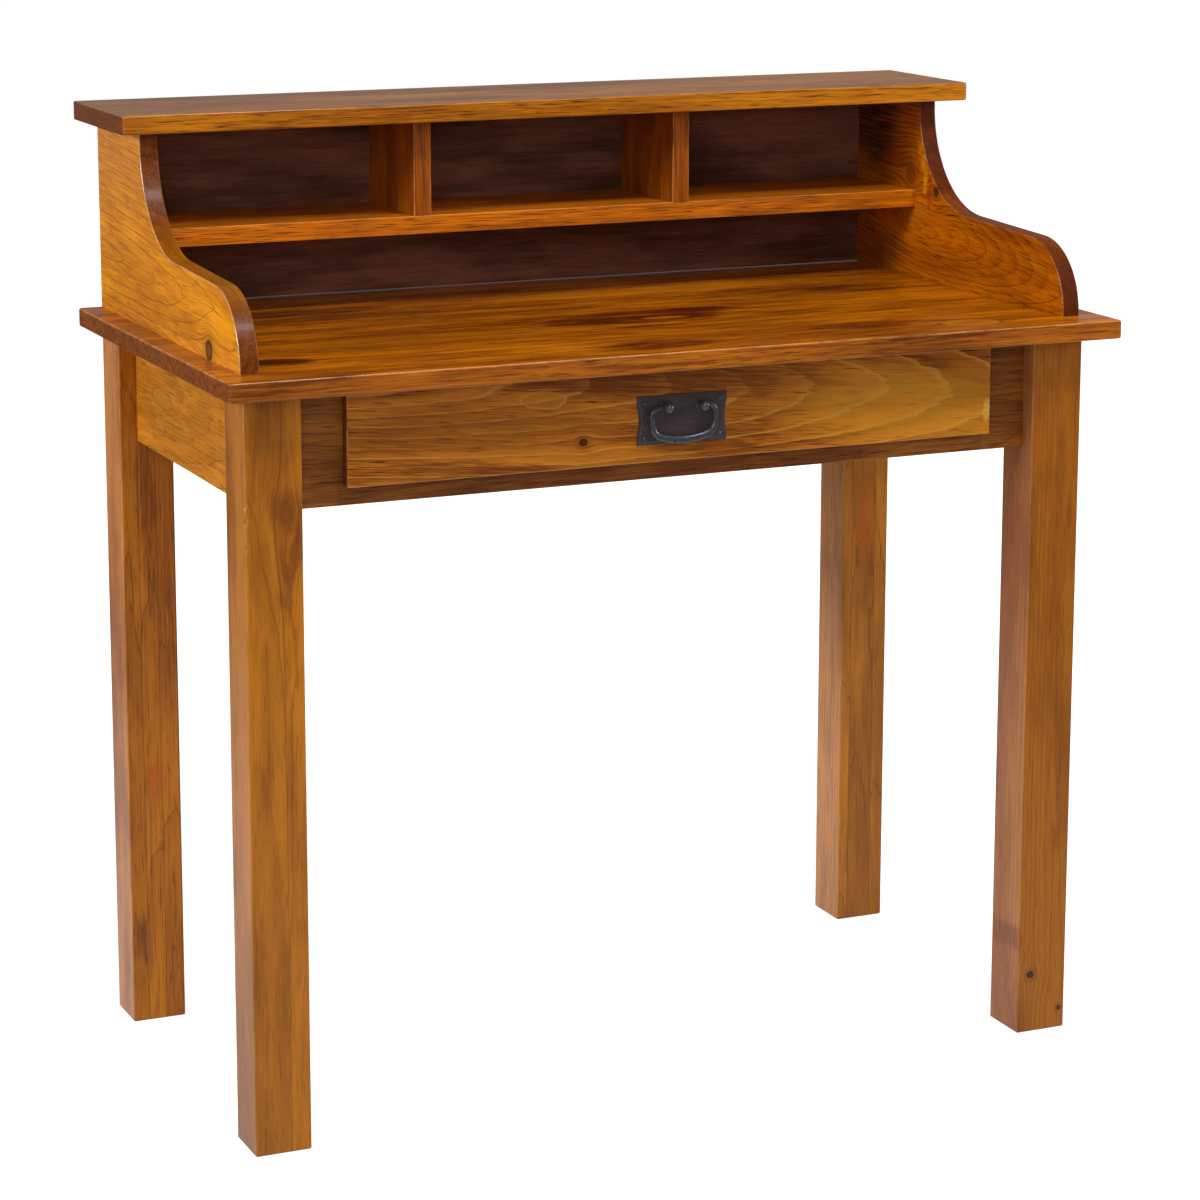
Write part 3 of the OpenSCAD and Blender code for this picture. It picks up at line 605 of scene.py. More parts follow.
@dataclass(frozen=True)
class StainedWood(Finish):
    """A stained and lacquered board with its own cut from the log."""

    slot = "stained_wood"
    grain: Axis
    across: Axis
    depth: Axis
    light: str = "#A9671D"
    mid: str = "#925211"
    dark: str = "#58290B"
    end: str = "#6B3A1E"
    # Pale tone of the arris strip: rubbed stain and a painted highlight line
    pale: str = "#D29A5A"
    line: str = "#5A2A08"
    turn: float = 0.0
    pivot: tuple[float, float] = (0.0, 0.0)
    pith_across: float = 0.0
    pith_depth: float = 0.03
    lean: float = 0.02
    ring_width: float = 0.005
    wander: float = 0.02
    feather: float = 0.0015
    even: float = 0.85
    board_width: float = 10.0
    board_shift: float = 5.0
    rings: float = 0.3
    lines: float = 0.5
    fibres: float = 0.5
    streaks: float = 0.4
    variety: float = 0.0
    narrow: float = 0.0
    rough: float = 0.38
    shine: float = 0.25
    coat: float = 0.15
    gleam: float = 0.0
    # Value and saturation of the faces turned away from the board's face: painted side light and shade
    cheek: tuple[float, float] = (1.0, 1.0)
    seed: float = 0.0
    wear: float = 0.5
    knots: tuple[Knot, ...] = ()
    patches: tuple[Patch, ...] = ()
    eyes: tuple[Eye, ...] = ()

    def board_place(self, graph: Graph) -> Wire:
        """Reads the place in the board: along the grain, across the face, into the thickness.

        Args:
            graph: The material's graph.

        Returns:
            The place as a vector.
        """
        parts = graph.split(graph.read("TexCoord", "Object"))
        vector = graph.join(*(parts[axis.value] for axis in (self.grain, self.across, self.depth)))
        if self.turn:
            inputs = {"Vector": vector, "Center": (*self.pivot, 0.0), "Angle": math.radians(self.turn)}
            vector = graph.node("VectorRotate", inputs, rotation_type="Z_AXIS")
        return vector

    def mask(
        self, graph: Graph, group: bpy.types.NodeTree, mark: Mark, vector: Wire, **given: Value
    ) -> SimpleNamespace:
        """Places a mark's group where the mark lies on the turned grain.

        Args:
            graph: The material's graph.
            group: The group of marks of this kind.
            mark: The mark.
            vector: The place in the board.
            **given: What else feeds the group.

        Returns:
            The group's outputs.
        """
        angle = math.radians(self.turn)
        dx, dy = mark.along - self.pivot[0], mark.across - self.pivot[1]
        along = self.pivot[0] + dx * math.cos(angle) - dy * math.sin(angle)
        across = self.pivot[1] + dx * math.sin(angle) + dy * math.cos(angle)
        return graph.group(group, mark, vector=vector, along=along, across=across, **given)

    def surface(self, graph: Graph, palette: Palette) -> dict[str, Value]:
        """Stains the figure, marks, cut ends and rubbed, highlight-painted edges, and paints light and shade on side
        faces.

        Args:
            graph: The material's graph.
            palette: The shared node groups.

        Returns:
            What feeds each socket.
        """
        vector = plain = self.board_place(graph)
        knots = []
        for knot in self.knots:
            masks = self.mask(graph, palette.knot, knot, vector)
            vector = masks.vector
            knots.append((knot, masks))
        figure = graph.group(palette.figure, self, vector=vector)
        stain = graph.group(palette.stain, self, line_tone=self.line, **vars(figure))
        tone = stain.color
        streaky = figure.fibre.step(0.38, 0.6, 0.55, 1.12)
        for number, patch in enumerate(self.patches):
            mask = self.mask(graph, palette.patch, patch, vector, seed=self.seed + number).mask
            tone = graph.mix(mask * patch.strength * streaky, tone, patch.tone)
        for eye in self.eyes:
            masks = self.mask(graph, palette.eye, eye, vector)
            tone = graph.mix(masks.inside * EYE_INSIDE, tone, eye.inside)
            tone = graph.mix(masks.ring * EYE_RING, tone, eye.ring)
        for knot, masks in knots:
            tone = graph.mix(masks.collar * KNOT_COLLAR, tone, self.dark)
            tone = graph.mix(masks.core * (0.3 + knot.rim * 0.7), tone, knot.core)
            tone = graph.mix(masks.rim * knot.rim, tone, KNOT_RIM)

        # Where the log is cut across, the stain soaks in deeper
        facing = [abs(part) for part in graph.split(graph.read("TexCoord", "Normal"))]
        ends = cut_away = facing[self.grain.value].step(0.3, 0.85)
        cut = graph.mix(figure.fibre.step(0.4, 0.62), self.end, graph.mix(0.55, self.end, self.dark))
        cut = graph.mix(figure.late * 0.5, cut, self.dark)
        cut = graph.mix(figure.board.step(0.5, 1.0, 0.0, 0.3), cut, self.dark)
        cut = graph.shade(cut, figure.streak.step(0.36, 0.64, 1.16, 0.8))
        if self.narrow:
            side = facing[self.depth.value].step(0.75, 0.45, 0.0, self.narrow)
            tone = graph.mix(side, tone, graph.mix(0.3, cut, tone))
            cut_away = graph.math("MAXIMUM", ends, side)
        # Painted side light and shade: faces turned away from the board's face are made lighter on the legs and darker
        # on the worktop's edges
        if self.cheek != (1.0, 1.0):
            tone = graph.shade(tone, *(facing[self.depth.value].step(0.75, 0.45, 1.0, way) for way in self.cheek))
        tone = graph.mix(ends * END_STAIN, tone, cut)

        # The arris strip is rubbed pale: partly wear of the stain, partly a painted highlight line along the edge
        arris = graph.read("Attribute", "Fac", attribute_name="arris")
        gleam = arris * self.gleam
        coat = cut_away.step(0.0, 1.0, self.coat, self.coat * 0.25)
        shine = cut_away.step(0.0, 1.0, self.shine, self.shine * 0.4)
        return {
            "Base Color": graph.group(
                palette.arris, self, color=tone, arris=arris, vector=plain, strength=self.wear
            ).color,
            "Roughness": stain.roughness + cut_away * DRY_END,
            "Coat Weight": graph.math("MAXIMUM", coat, gleam),
            "Coat Roughness": 0.16,
            "Specular IOR Level": graph.math("MAXIMUM", shine, gleam),
            "Normal": graph.relief(stain.height, *GRAIN_RELIEF),
        }


@dataclass(frozen=True)
class BlackenedIron(Finish):
    """Cast iron with an oil-blackened bronze finish, rubbed paler on its high places."""

    slot = "blackened_iron"
    deep: str
    high: str
    rough: float
    metal: float
    pale: str = "#6C625F"

    def surface(self, graph: Graph, palette: Palette) -> dict[str, Value]:
        """Mottles the iron and rubs its edges.

        Args:
            graph: The material's graph.
            palette: The shared node groups.

        Returns:
            What feeds each socket.
        """
        place = graph.read("TexCoord", "Object")
        mottle = graph.noise(place, 1.0, 420.0, detail=4.0, rough=0.6)
        cloud = graph.noise(place, 2.0, 60.0)
        tone = graph.mix(mottle.step(0.35, 0.75), self.deep, self.high)
        tone = graph.mix(cloud.step(0.4, 0.7) * 0.35, tone, self.deep)
        arris = graph.read("Attribute", "Fac", attribute_name="arris")
        return {
            "Base Color": graph.group(
                palette.arris, self, color=tone, arris=arris, vector=place, strength=EDGE_RUB
            ).color,
            "Roughness": mottle.step(0.2, 0.8, self.rough - 0.08, self.rough + 0.12),
            "Metallic": self.metal,
            "Normal": graph.relief(mottle, *IRON_RELIEF),
        }


@dataclass(frozen=True)
class PlatedSteel(Finish):
    """Zinc-plated steel of the hidden screws, nuts and pins."""

    bright: str = "#A9A7A2"
    dull: str = "#7C7A76"

    def surface(self, graph: Graph, palette: Palette) -> dict[str, Value]:
        """Gives the zinc its spangle.

        Args:
            graph: The material's graph.
            palette: The shared node groups.

        Returns:
            What feeds each socket.
        """
        spangle = graph.noise(graph.read("TexCoord", "Object"), 4.0, 700.0, detail=3.0)
        return {
            "Base Color": graph.mix(spangle.step(0.3, 0.7), self.bright, self.dull),
            "Roughness": spangle.step(0.2, 0.8, 0.28, 0.45),
            "Metallic": 1.0,
        }


def span(edge: BMEdge, axis: Axis) -> float:
    """Measures how far an edge runs along an axis."""
    return abs(edge.verts[0].co[axis.value] - edge.verts[1].co[axis.value])


def far_end(edge: BMEdge, axis: Axis) -> float:
    """Finds the highest place of an edge along an axis."""
    return max(vert.co[axis.value] for vert in edge.verts)


class Blank:
    """A piece in the making, cut and eased with mesh operators."""

    def __init__(self) -> None:
        """Starts with an empty mesh."""
        self.bm = bmesh.new()
        self.arris = self.bm.faces.layers.float.new("arris")

    def box(self, lo: Sequence[float], hi: Sequence[float]) -> None:
        """Adds a block between two corners.

        Args:
            lo: Its lowest corner.
            hi: Its highest corner.
        """
        low, high = Vector(lo), Vector(hi)
        made = bmesh.ops.create_cube(self.bm, size=1.0)["verts"]
        bmesh.ops.scale(self.bm, vec=high - low, verts=made)
        bmesh.ops.translate(self.bm, vec=(low + high) / 2, verts=made)

    def edges(self, test: Callable[[BMEdge], bool]) -> list[BMEdge]:
        """Lists the edges that pass a test."""
        return [edge for edge in self.bm.edges if test(edge)]

    def sharp(self, degrees: float = 30.0) -> list[BMEdge]:
        """Lists the edges where two faces meet at more than an angle."""
        limit = math.radians(degrees)
        return self.edges(lambda e: len(e.link_faces) == 2 and e.calc_face_angle(0.0) > limit)

    def ease(
        self, edges: Iterable[BMEdge], width: float, segments: int = 3, wear: float = 1.0, flat: Axis | None = None
    ) -> None:
        """Rounds edges over and marks the strip that rubs first, and carries the painted highlight, as arris.

        Args:
            edges: The edges to round.
            width: How far the round reaches.
            segments: How many faces it gets.
            wear: How much the stain is rubbed off them, and how strong their painted highlight line is.
            flat: The direction of the flat face beside a curved edge.
        """
        made = bmesh.ops.bevel(
            self.bm,
            geom=list(edges),
            offset=width,
            offset_type="OFFSET",
            segments=segments,
            profile=0.5,
            affect="EDGES",
            clamp_overlap=True,
            material=-1,
        )
        for face in made["faces"]:
            face.normal_update()
            parts = [abs(part) for part in face.normal]
            steep = parts[flat.value] if flat else max(parts)
            face[self.arris] = wear if 0.5 < steep < 0.87 else wear * SOFT_SHARE

    def slab(self, node: str, corner: float, ease: float, wears_and_highlights: tuple[float, float]) -> None:
        """Makes a top board with rounded corners and eased long edges.

        Args:
            node: Its CAD node.
            corner: The radius of its corners.
            ease: How far its edges are rounded over.
            wears_and_highlights: How much the stain is rubbed off its upper and its lower edges, and how strong their
                painted highlight lines are.
        """
        lo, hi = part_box(node)
        self.box(lo, hi)
        self.ease(self.edges(lambda e: span(e, Axis.Z) > 0.01), corner, 4, 0.0)
        for level, wear in zip((hi[2], lo[2]), wears_and_highlights):
            flat = [e for e in self.bm.edges if all(abs(v.co.z - level) < TOUCH for v in e.verts)]
            self.ease([e for e in flat if e.calc_face_angle(0.0) > 1.0], ease, 3, wear)

    def slice(self, place: Point, way: Point, only: BMFace | None = None) -> None:
        """Cuts the mesh along a plane.

        Args:
            place: A point on the plane.
            way: The direction that the plane faces.
            only: The one face to cut, or none for all of them.
        """
        geom = [only, *only.edges, *only.verts] if only else [*self.bm.verts, *self.bm.edges, *self.bm.faces]
        bmesh.ops.bisect_plane(self.bm, geom=geom, plane_co=place, plane_no=way)

    def push(self, face: BMFace, by: Point, keep: bool = True) -> BMFace:
        """Extrudes a face and moves it.

        Args:
            face: The face.
            by: How far it moves.
            keep: Whether the first face stays, as the back of a closed solid.

        Returns:
            The moved face.
        """
        made = bmesh.ops.extrude_face_region(self.bm, geom=[face])["geom"]
        bmesh.ops.translate(self.bm, vec=by, verts=[item for item in made if isinstance(item, BMVert)])
        if not keep:
            bmesh.ops.delete(self.bm, geom=[face], context="FACES_ONLY")
        return next(item for item in made if isinstance(item, BMFace))

    def turn_outwards(self) -> None:
        """Makes every face point outwards."""
        bmesh.ops.recalc_face_normals(self.bm, faces=self.bm.faces)

    def lathe(self, profile: Sequence[tuple[float, float]], centre: Sequence[float], steps: int) -> None:
        """Turns a profile round an axis that points to the front.

        Args:
            profile: Pairs of radius and distance in front of the centre, from the axis out and back.
            centre: A point on the axis.
            steps: How many faces go round.
        """
        origin = Vector(centre)
        line = [self.bm.verts.new(origin + Vector((radius, -ahead, 0.0))) for radius, ahead in profile]
        edges = [self.bm.edges.new(pair) for pair in zip(line, line[1:])]
        bmesh.ops.spin(
            self.bm, geom=line + edges, cent=origin, axis=(0, 1, 0), angle=math.tau, steps=steps, use_merge=True
        )
        bmesh.ops.remove_doubles(self.bm, verts=self.bm.verts, dist=TOUCH)
        self.turn_outwards()

    def solid(self, name: str, material: bpy.types.Material) -> bpy.types.Object:
        """Turns the mesh into an object with flat faces and sharp corners.

        Args:
            name: Its name.
            material: Its finish.

        Returns:
            The object.
        """
        self.turn_outwards()
        for face in self.bm.faces:
            face.smooth = True
        for edge in self.sharp(CREASE):
            edge.smooth = False
        mesh = bpy.data.meshes.new(name)
        self.bm.to_mesh(mesh)
        self.bm.free()
        mesh.materials.append(material)
        piece = add_object(name, mesh)
        normals = piece.modifiers.new("Flat faces", "WEIGHTED_NORMAL")
        normals.weight = 100
        normals.keep_sharp = True
        return piece


class Trace:
    """A pen that draws a closed outline out of straight runs and swept arcs."""

    def __init__(self, bm: bmesh.types.BMesh, axis: Point, start: Point) -> None:
        """Puts the pen down.

        Args:
            bm: The mesh to draw in.
            axis: The direction that the outline faces, about which arcs turn.
            start: The first point.
        """
        self.bm, self.axis = bm, axis
        self.first = self.last = bm.verts.new(start)

    def run(self, *places: Point) -> None:
        """Draws straight lines from place to place.

        Args:
            *places: Where each line ends.
        """
        for place in places:
            end = self.bm.verts.new(place)
            self.bm.edges.new((self.last, end))
            self.last = end

    def sweep(self, centre: Point, degrees: float, steps: int) -> None:
        """Draws an arc round a centre.

        Args:
            centre: The arc's centre.
            degrees: How far it turns.
            steps: How many pieces it has.
        """
        angle = math.radians(degrees)
        made = bmesh.ops.spin(self.bm, geom=[self.last], cent=centre, axis=self.axis, angle=angle, steps=steps)
        self.last = next(item for item in made["geom_last"] if isinstance(item, BMVert))

    def close(self) -> BMFace:
        """Draws the last line back to the start and fills the outline."""
        self.bm.edges.new((self.last, self.first))
        return bmesh.ops.contextual_create(self.bm, geom=self.bm.edges[:])["faces"][0]


WORKTOP = StainedWood(
    "worktop_boards", Axis.X, Axis.Y, Axis.Z, light="#D57801", mid="#954C01", dark="#471800", end="#884C22",
    pale="#D89A58", line="#5A2404", pith_depth=-0.70, lean=0.012, ring_width=0.009, wander=0.03, feather=0.002,
    board_width=0.104, board_shift=0.611, rings=0.3, lines=0.35, fibres=0.6, streaks=0.85, variety=0.2,
    narrow=0.6, rough=0.30, cheek=(0.86, 1.0), seed=4.0, wear=0.6,
    knots=(
        Knot(0.055, -0.050, 0.010, 3.0, "#B4620C", 3.4, 0.6),
        Knot(-0.033, -0.193, 0.006, 2.6, "#8A4206", 3.4, 0.6),
        Knot(-0.395, -0.150, 0.004, 2.6, "#4A1A04", 3.4, 0.5),
        Knot(0.30, 0.055, 0.006, 3.0, "#7A3206", 4.0, 0.2),
    ),
    patches=(
        Patch(0.035, -0.035, 0.16, 0.034, "#561A02", 1.0, 3.0),
        Patch(0.105, -0.022, 0.06, 0.014, "#4A1402", 1.0, 2.4),
        Patch(-0.035, -0.048, 0.05, 0.018, "#4E1602", 1.0, 2.4),
        Patch(0.02, -0.08, 0.05, 0.012, "#561A02", 0.85, 2.4),
        Patch(-0.028, -0.193, 0.085, 0.020, "#561A02", 0.95, 3.0),
        Patch(-0.40, -0.150, 0.05, 0.016, "#3C1404", 1.0, 2.0),
        Patch(-0.31, 0.12, 0.16, 0.030, "#421802", 0.7, 2.6),
        Patch(-0.20, 0.075, 0.20, 0.026, "#4A1C04", 0.65, 3.0),
        Patch(-0.08, 0.030, 0.16, 0.016, "#4A1C04", 0.6, 3.0),
        Patch(0.28, 0.06, 0.18, 0.040, "#5B2605", 0.7, 3.0),
        Patch(0.23, -0.165, 0.10, 0.022, "#561E04", 0.95, 2.4),
        Patch(0.10, 0.12, 0.25, 0.030, "#C07408", 0.5, 3.0),
        Patch(-0.25, -0.08, 0.2, 0.030, "#B86A06", 0.45, 3.0),
    ),
    eyes=(Eye(0.326, -0.196, 0.034, 0.020, "#B8700E", "#5A2404"),),
)
CAP = StainedWood(
    "cap_boards", Axis.X, Axis.Y, Axis.Z, light="#C17502", mid="#915000", dark="#502200", end="#6A3618",
    line="#6A3204", pith_depth=-0.93, lean=0.01, ring_width=0.004, wander=0.012, board_width=0.0875,
    board_shift=0.425, rings=0.3, lines=0.3, fibres=0.7, streaks=0.3, variety=0.08, rough=0.3, shine=0.4,
    seed=11.0, wear=0.8,
    patches=(Patch(-0.057, 0.207, 0.028, 0.005, "#3E1904", 0.8, 0.8),),
)
SHELF = StainedWood(
    "shelf_board", Axis.X, Axis.Y, Axis.Z, light="#D97700", mid="#A55400", dark="#5B2500", line="#6E3402",
    pith_across=-0.05, pith_depth=-0.80, lean=0.008, ring_width=0.004, wander=0.012, rings=0.3, lines=0.3,
    fibres=0.7, streaks=0.3, seed=17.0,
)
DIVIDER = StainedWood(
    "divider_boards", Axis.Z, Axis.Y, Axis.X, light="#BE6602", mid="#8C4401", dark="#491C02", line="#5A2404",
    pith_depth=0.05, lean=0.03, ring_width=0.005, rings=0.3, fibres=0.45, seed=23.0, wear=0.7,
)
SIDE_LEFT = StainedWood(
    "left_side_panel", Axis.Y, Axis.Z, Axis.X, light="#F49D03", mid="#CD7B00", dark="#853F03", end="#4A1D04",
    pale="#E4B478", line="#7A420C", turn=-3.5, pivot=(0.05, 0.81), pith_across=0.815, pith_depth=0.4755,
    lean=-0.085, ring_width=0.0095, wander=0.012, feather=0.0012, rings=0.18, lines=0.65, fibres=0.55,
    streaks=0.2, narrow=1.0, rough=0.34, shine=0.4, gleam=1.0, seed=31.0, wear=0.4,
    knots=(Knot(-0.1145, 0.771, 0.0095, 1.0, "#5A2E14", 2.0),),
    patches=(
        Patch(-0.045, 0.790, 0.03, 0.010, "#9E5809", 0.4, 2.4),
        Patch(0.04, 0.86, 0.10, 0.02, "#B06306", 0.3, 1.6),
        Patch(-0.02, 0.786, 0.13, 0.024, "#9A560A", 0.3, 2.8),
    ),
)
SIDE_RIGHT = StainedWood(
    "right_side_panel", Axis.Y, Axis.Z, Axis.X, light="#C36800", mid="#934800", dark="#491800", end="#4E1A06",
    pale="#D8A068", line="#5A2002", turn=-6.0, pivot=(0.05, 0.82), pith_across=0.823, pith_depth=-0.4106,
    lean=-0.17, ring_width=0.0055, wander=0.012, feather=0.0016, rings=0.35, lines=0.6, fibres=0.6, streaks=0.2,
    narrow=0.85, rough=0.34, gleam=0.8, seed=37.0, wear=0.35,
    knots=(
        Knot(0.062, 0.860, 0.0048, 1.0, "#3A1604", 4.0), Knot(0.118, 0.872, 0.009, 1.0, "#66260A", 2.4, 0.3),
    ),
    patches=(
        # Painted shadow under the cap, darkening the upper back of the panel
        Patch(0.205, 0.925, 0.07, 0.06, "#2A1008", 0.85, 0.8),
        Patch(0.100, 0.890, 0.007, 0.008, "#C97A06", 0.7, 1.0),
        Patch(0.092, 0.880, 0.007, 0.009, "#D48706", 0.8, 1.0),
        Patch(0.086, 0.869, 0.006, 0.010, "#D48706", 0.8, 1.0),
        Patch(0.066, 0.882, 0.010, 0.016, "#C57106", 0.6, 1.2),
        Patch(0.076, 0.858, 0.006, 0.010, "#892A01", 0.7, 0.8),
    ),
)
APRON = StainedWood(
    "front_apron_board", Axis.X, Axis.Z, Axis.Y, light="#935616", mid="#6B360D", dark="#301304", line="#4A2008",
    pith_across=0.66, pith_depth=0.24, lean=0.06, ring_width=0.009, rings=0.3, seed=41.0, wear=0.3,
)
SIDE_APRON = StainedWood(
    "side_apron_boards", Axis.Y, Axis.Z, Axis.X, light="#D9891F", mid="#B16C10", dark="#763F07", line="#74400E",
    pith_across=0.70, pith_depth=0.37, lean=0.13, ring_width=0.014, wander=0.02, rings=0.3, lines=0.5,
    fibres=0.55, streaks=0.15, shine=0.4, seed=47.0, wear=0.3,
    eyes=(Eye(0.104, 0.687, 0.034, 0.009, "#B4721E", "#7A4410"),),
)
DRAWER_FRONT = StainedWood(
    "drawer_front_board", Axis.X, Axis.Z, Axis.Y, light="#B96E16", mid="#8C4C0B", dark="#4C2003",
    pale="#CC9250", line="#C08A3A", turn=5.0, pivot=(0.1, 0.712), pith_across=0.712, pith_depth=0.2567,
    lean=0.12, ring_width=-0.0094, wander=0.008, feather=0.002, even=0.0, rings=0.6, lines=0.5, fibres=0.6,
    streaks=0.4, rough=0.3, seed=53.0, wear=0.7,
    knots=(Knot(-0.1046, 0.6724, 0.0034, 1.2, "#3A1604", 2.4),),
    patches=(
        Patch(-0.21, 0.695, 0.15, 0.040, "#84480E", 0.6, 0.8),
        Patch(-0.05, 0.738, 0.28, 0.028, "#5A2A0C", 0.55, 0.8),
        Patch(0.25, 0.685, 0.17, 0.05, "#B47A18", 0.6, 0.8),
        Patch(-0.02, 0.728, 0.24, 0.024, "#612E0A", 0.55, 1.2),
        Patch(-0.20, 0.652, 0.14, 0.010, "#5D2A05", 0.6, 3.2),
        Patch(-0.10, 0.66, 0.2, 0.012, "#B97018", 0.4, 2.4),
        Patch(0.343, 0.672, 0.006, 0.014, "#D8A048", 0.6, 1.0),
        Patch(0.04, 0.658, 0.08, 0.008, "#5D2A05", 0.6, 3.0),
    ),
    eyes=(Eye(-0.1465, 0.7153, 0.023, 0.0085, "#A2621C", "#B07832"),),
)
LEG_FRONT_LEFT = StainedWood(
    "front_left_leg", Axis.Z, Axis.X, Axis.Y, light="#AF6909", mid="#894D05", dark="#5D2C05", pale="#C89458",
    line="#6A3A0C", pith_depth=0.25, lean=0.03, ring_width=0.009, board_width=0.038, board_shift=0.451,
    rings=0.2, fibres=0.32, streaks=0.12, variety=0.14, cheek=(1.12, 0.95), seed=61.0, wear=0.2,
    knots=(
        Knot(0.630, -0.4095, 0.0042, 2.2, "#7A420C", 3.0, 0.12),
        Knot(0.590, -0.4045, 0.0026, 2.6, "#7A420C", 3.4, 0.10),
    ),
    patches=(
        Patch(0.632, -0.409, 0.024, 0.010, "#6A3208", 0.45, 3.6),
        Patch(0.604, -0.402, 0.018, 0.004, "#642E08", 0.5, 3.6),
        Patch(0.576, -0.4075, 0.016, 0.003, "#642E08", 0.5, 3.6),
        Patch(0.546, -0.4095, 0.014, 0.005, "#6A3208", 0.4, 3.6),
        Patch(0.595, -0.4165, 0.05, 0.003, "#B07A1C", 0.3, 2.4),
        # Painted shade near the top of the leg, below the worktop
        Patch(0.70, -0.425, 0.08, 0.02, "#703A08", 0.4, 2.0),
    ),
)
LEG_FRONT_RIGHT = StainedWood(
    "front_right_leg", Axis.Z, Axis.X, Axis.Y, light="#9E5D07", mid="#804304", dark="#5E2C05", pale="#C48E54",
    line="#6A3204", pith_across=0.435, pith_depth=0.225, lean=0.006, ring_width=0.0045, wander=0.01, rings=0.2,
    lines=0.4, fibres=0.32, streaks=0.12, cheek=(1.28, 0.91), seed=67.0, wear=0.2,
    knots=(Knot(0.063, 0.4073, 0.0036, 1.0, "#2E1204"), Knot(0.0216, 0.4425, 0.0024, 1.0, "#2E1204")),
    patches=(
        Patch(0.102, 0.393, 0.016, 0.006, "#653006", 0.7, 1.6),
        Patch(0.56, 0.44, 0.03, 0.004, "#773A09", 0.6, 1.6),
    ),
)
LEG_BACK_LEFT = StainedWood(
    "back_left_leg", Axis.Z, Axis.X, Axis.Y, light="#BD6F0B", mid="#944F04", dark="#5D2803", line="#5A2C08",
    pith_depth=-0.16, lean=0.03, ring_width=0.008, board_width=0.019, board_shift=0.4515, rings=0.2, fibres=0.4,
    streaks=0.3, variety=0.3, cheek=(1.27, 0.88), seed=71.0, wear=0.2,
    patches=(
        Patch(0.57, -0.425, 0.09, 0.012, "#632B06", 0.6, 2.4),
        Patch(0.262, -0.421, 0.030, 0.012, "#AC4E08", 0.75, 0.8),
        Patch(0.088, -0.438, 0.03, 0.008, "#632B06", 0.5, 2.0),
    ),
)
LEG_BACK_RIGHT = StainedWood(
    "back_right_leg", Axis.Z, Axis.X, Axis.Y, light="#BE761D", mid="#94560E", dark="#62320A", line="#5A2C08",
    pith_depth=-0.16, lean=0.03, ring_width=0.008, board_width=0.0285, board_shift=0.45, rings=0.2, fibres=0.32,
    streaks=0.12, variety=0.15, cheek=(1.18, 0.88), seed=79.0, wear=0.2,
    patches=(Patch(0.468, 0.4215, 0.06, 0.012, "#B7580F", 0.6, 1.6),),
)
DARK_PLY = StainedWood(
    "back_plywood", Axis.X, Axis.Z, Axis.Y, light="#7C4C38", mid="#4A2818", dark="#220E08", end="#4A2C1C",
    line="#6A4030", pith_across=0.85, pith_depth=0.30, lean=0.10, ring_width=0.022, wander=0.08, rings=0.1,
    lines=0.15, fibres=0.3, streaks=0.25, rough=0.55, shine=0.15, coat=0.0, seed=83.0, wear=0.0,
)
BOX_WOOD = StainedWood(
    "drawer_box_boards", Axis.Y, Axis.Z, Axis.X, light="#C79A63", mid="#B88A55", dark="#8A5E35", end="#9B7145",
    pith_depth=0.30, ring_width=0.004, rings=0.35, streaks=0.25, rough=0.55, coat=0.0, seed=89.0, wear=0.0,
)
BOX_BOTTOM = StainedWood(
    "drawer_bottom_panel", Axis.X, Axis.Y, Axis.Z, light="#CBA06B", mid="#BD905C", dark="#94683E",
    pith_depth=-0.62, lean=0.05, ring_width=0.012, wander=0.05, rings=0.3, streaks=0.2, rough=0.55, coat=0.0,
    seed=97.0, wear=0.0,
)
PLATE_IRON = BlackenedIron("plate_iron", "#423739", "#504446", 0.44, 0.4)
BAIL_IRON = BlackenedIron("bail_iron", "#46494D", "#5E6267", 0.32, 0.6)
STEEL = PlatedSteel("plated_steel")


@dataclass
class Assembly:
    """A part of the desk whose pieces are shown with finishes from one palette."""

    palette: Palette
    body = Body.DESK

    def show(self, blank: Blank, name: str, finish: Finish, *nodes: str, body: Body | None = None) -> None:
        """Turns a blank into a shown piece that stands for CAD nodes.

        Args:
            blank: The piece in the making.
            name: The piece's name.
            finish: Its finish.
            *nodes: The CAD nodes it stands for.
            body: The body it moves with, where that isn't the assembly's own.
        """
        piece = blank.solid(name, self.palette.material(finish))
        body = body or self.body
        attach(piece, body.value)
        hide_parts(*nodes)
        log.info("%s: %d faces, rides on %s", name, len(piece.data.polygons), body.value)

    def dress(self, finish: Finish, *nodes: str) -> None:
        """Gives CAD nodes that stay as they are a finish.

        Args:
            finish: The finish.
            *nodes: The nodes.
        """
        for name in nodes:
            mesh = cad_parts[name].data
            mesh.materials.clear()
            mesh.materials.append(self.palette.material(finish))
            log.info("%s: keeps its solid, %s", name, finish.name)


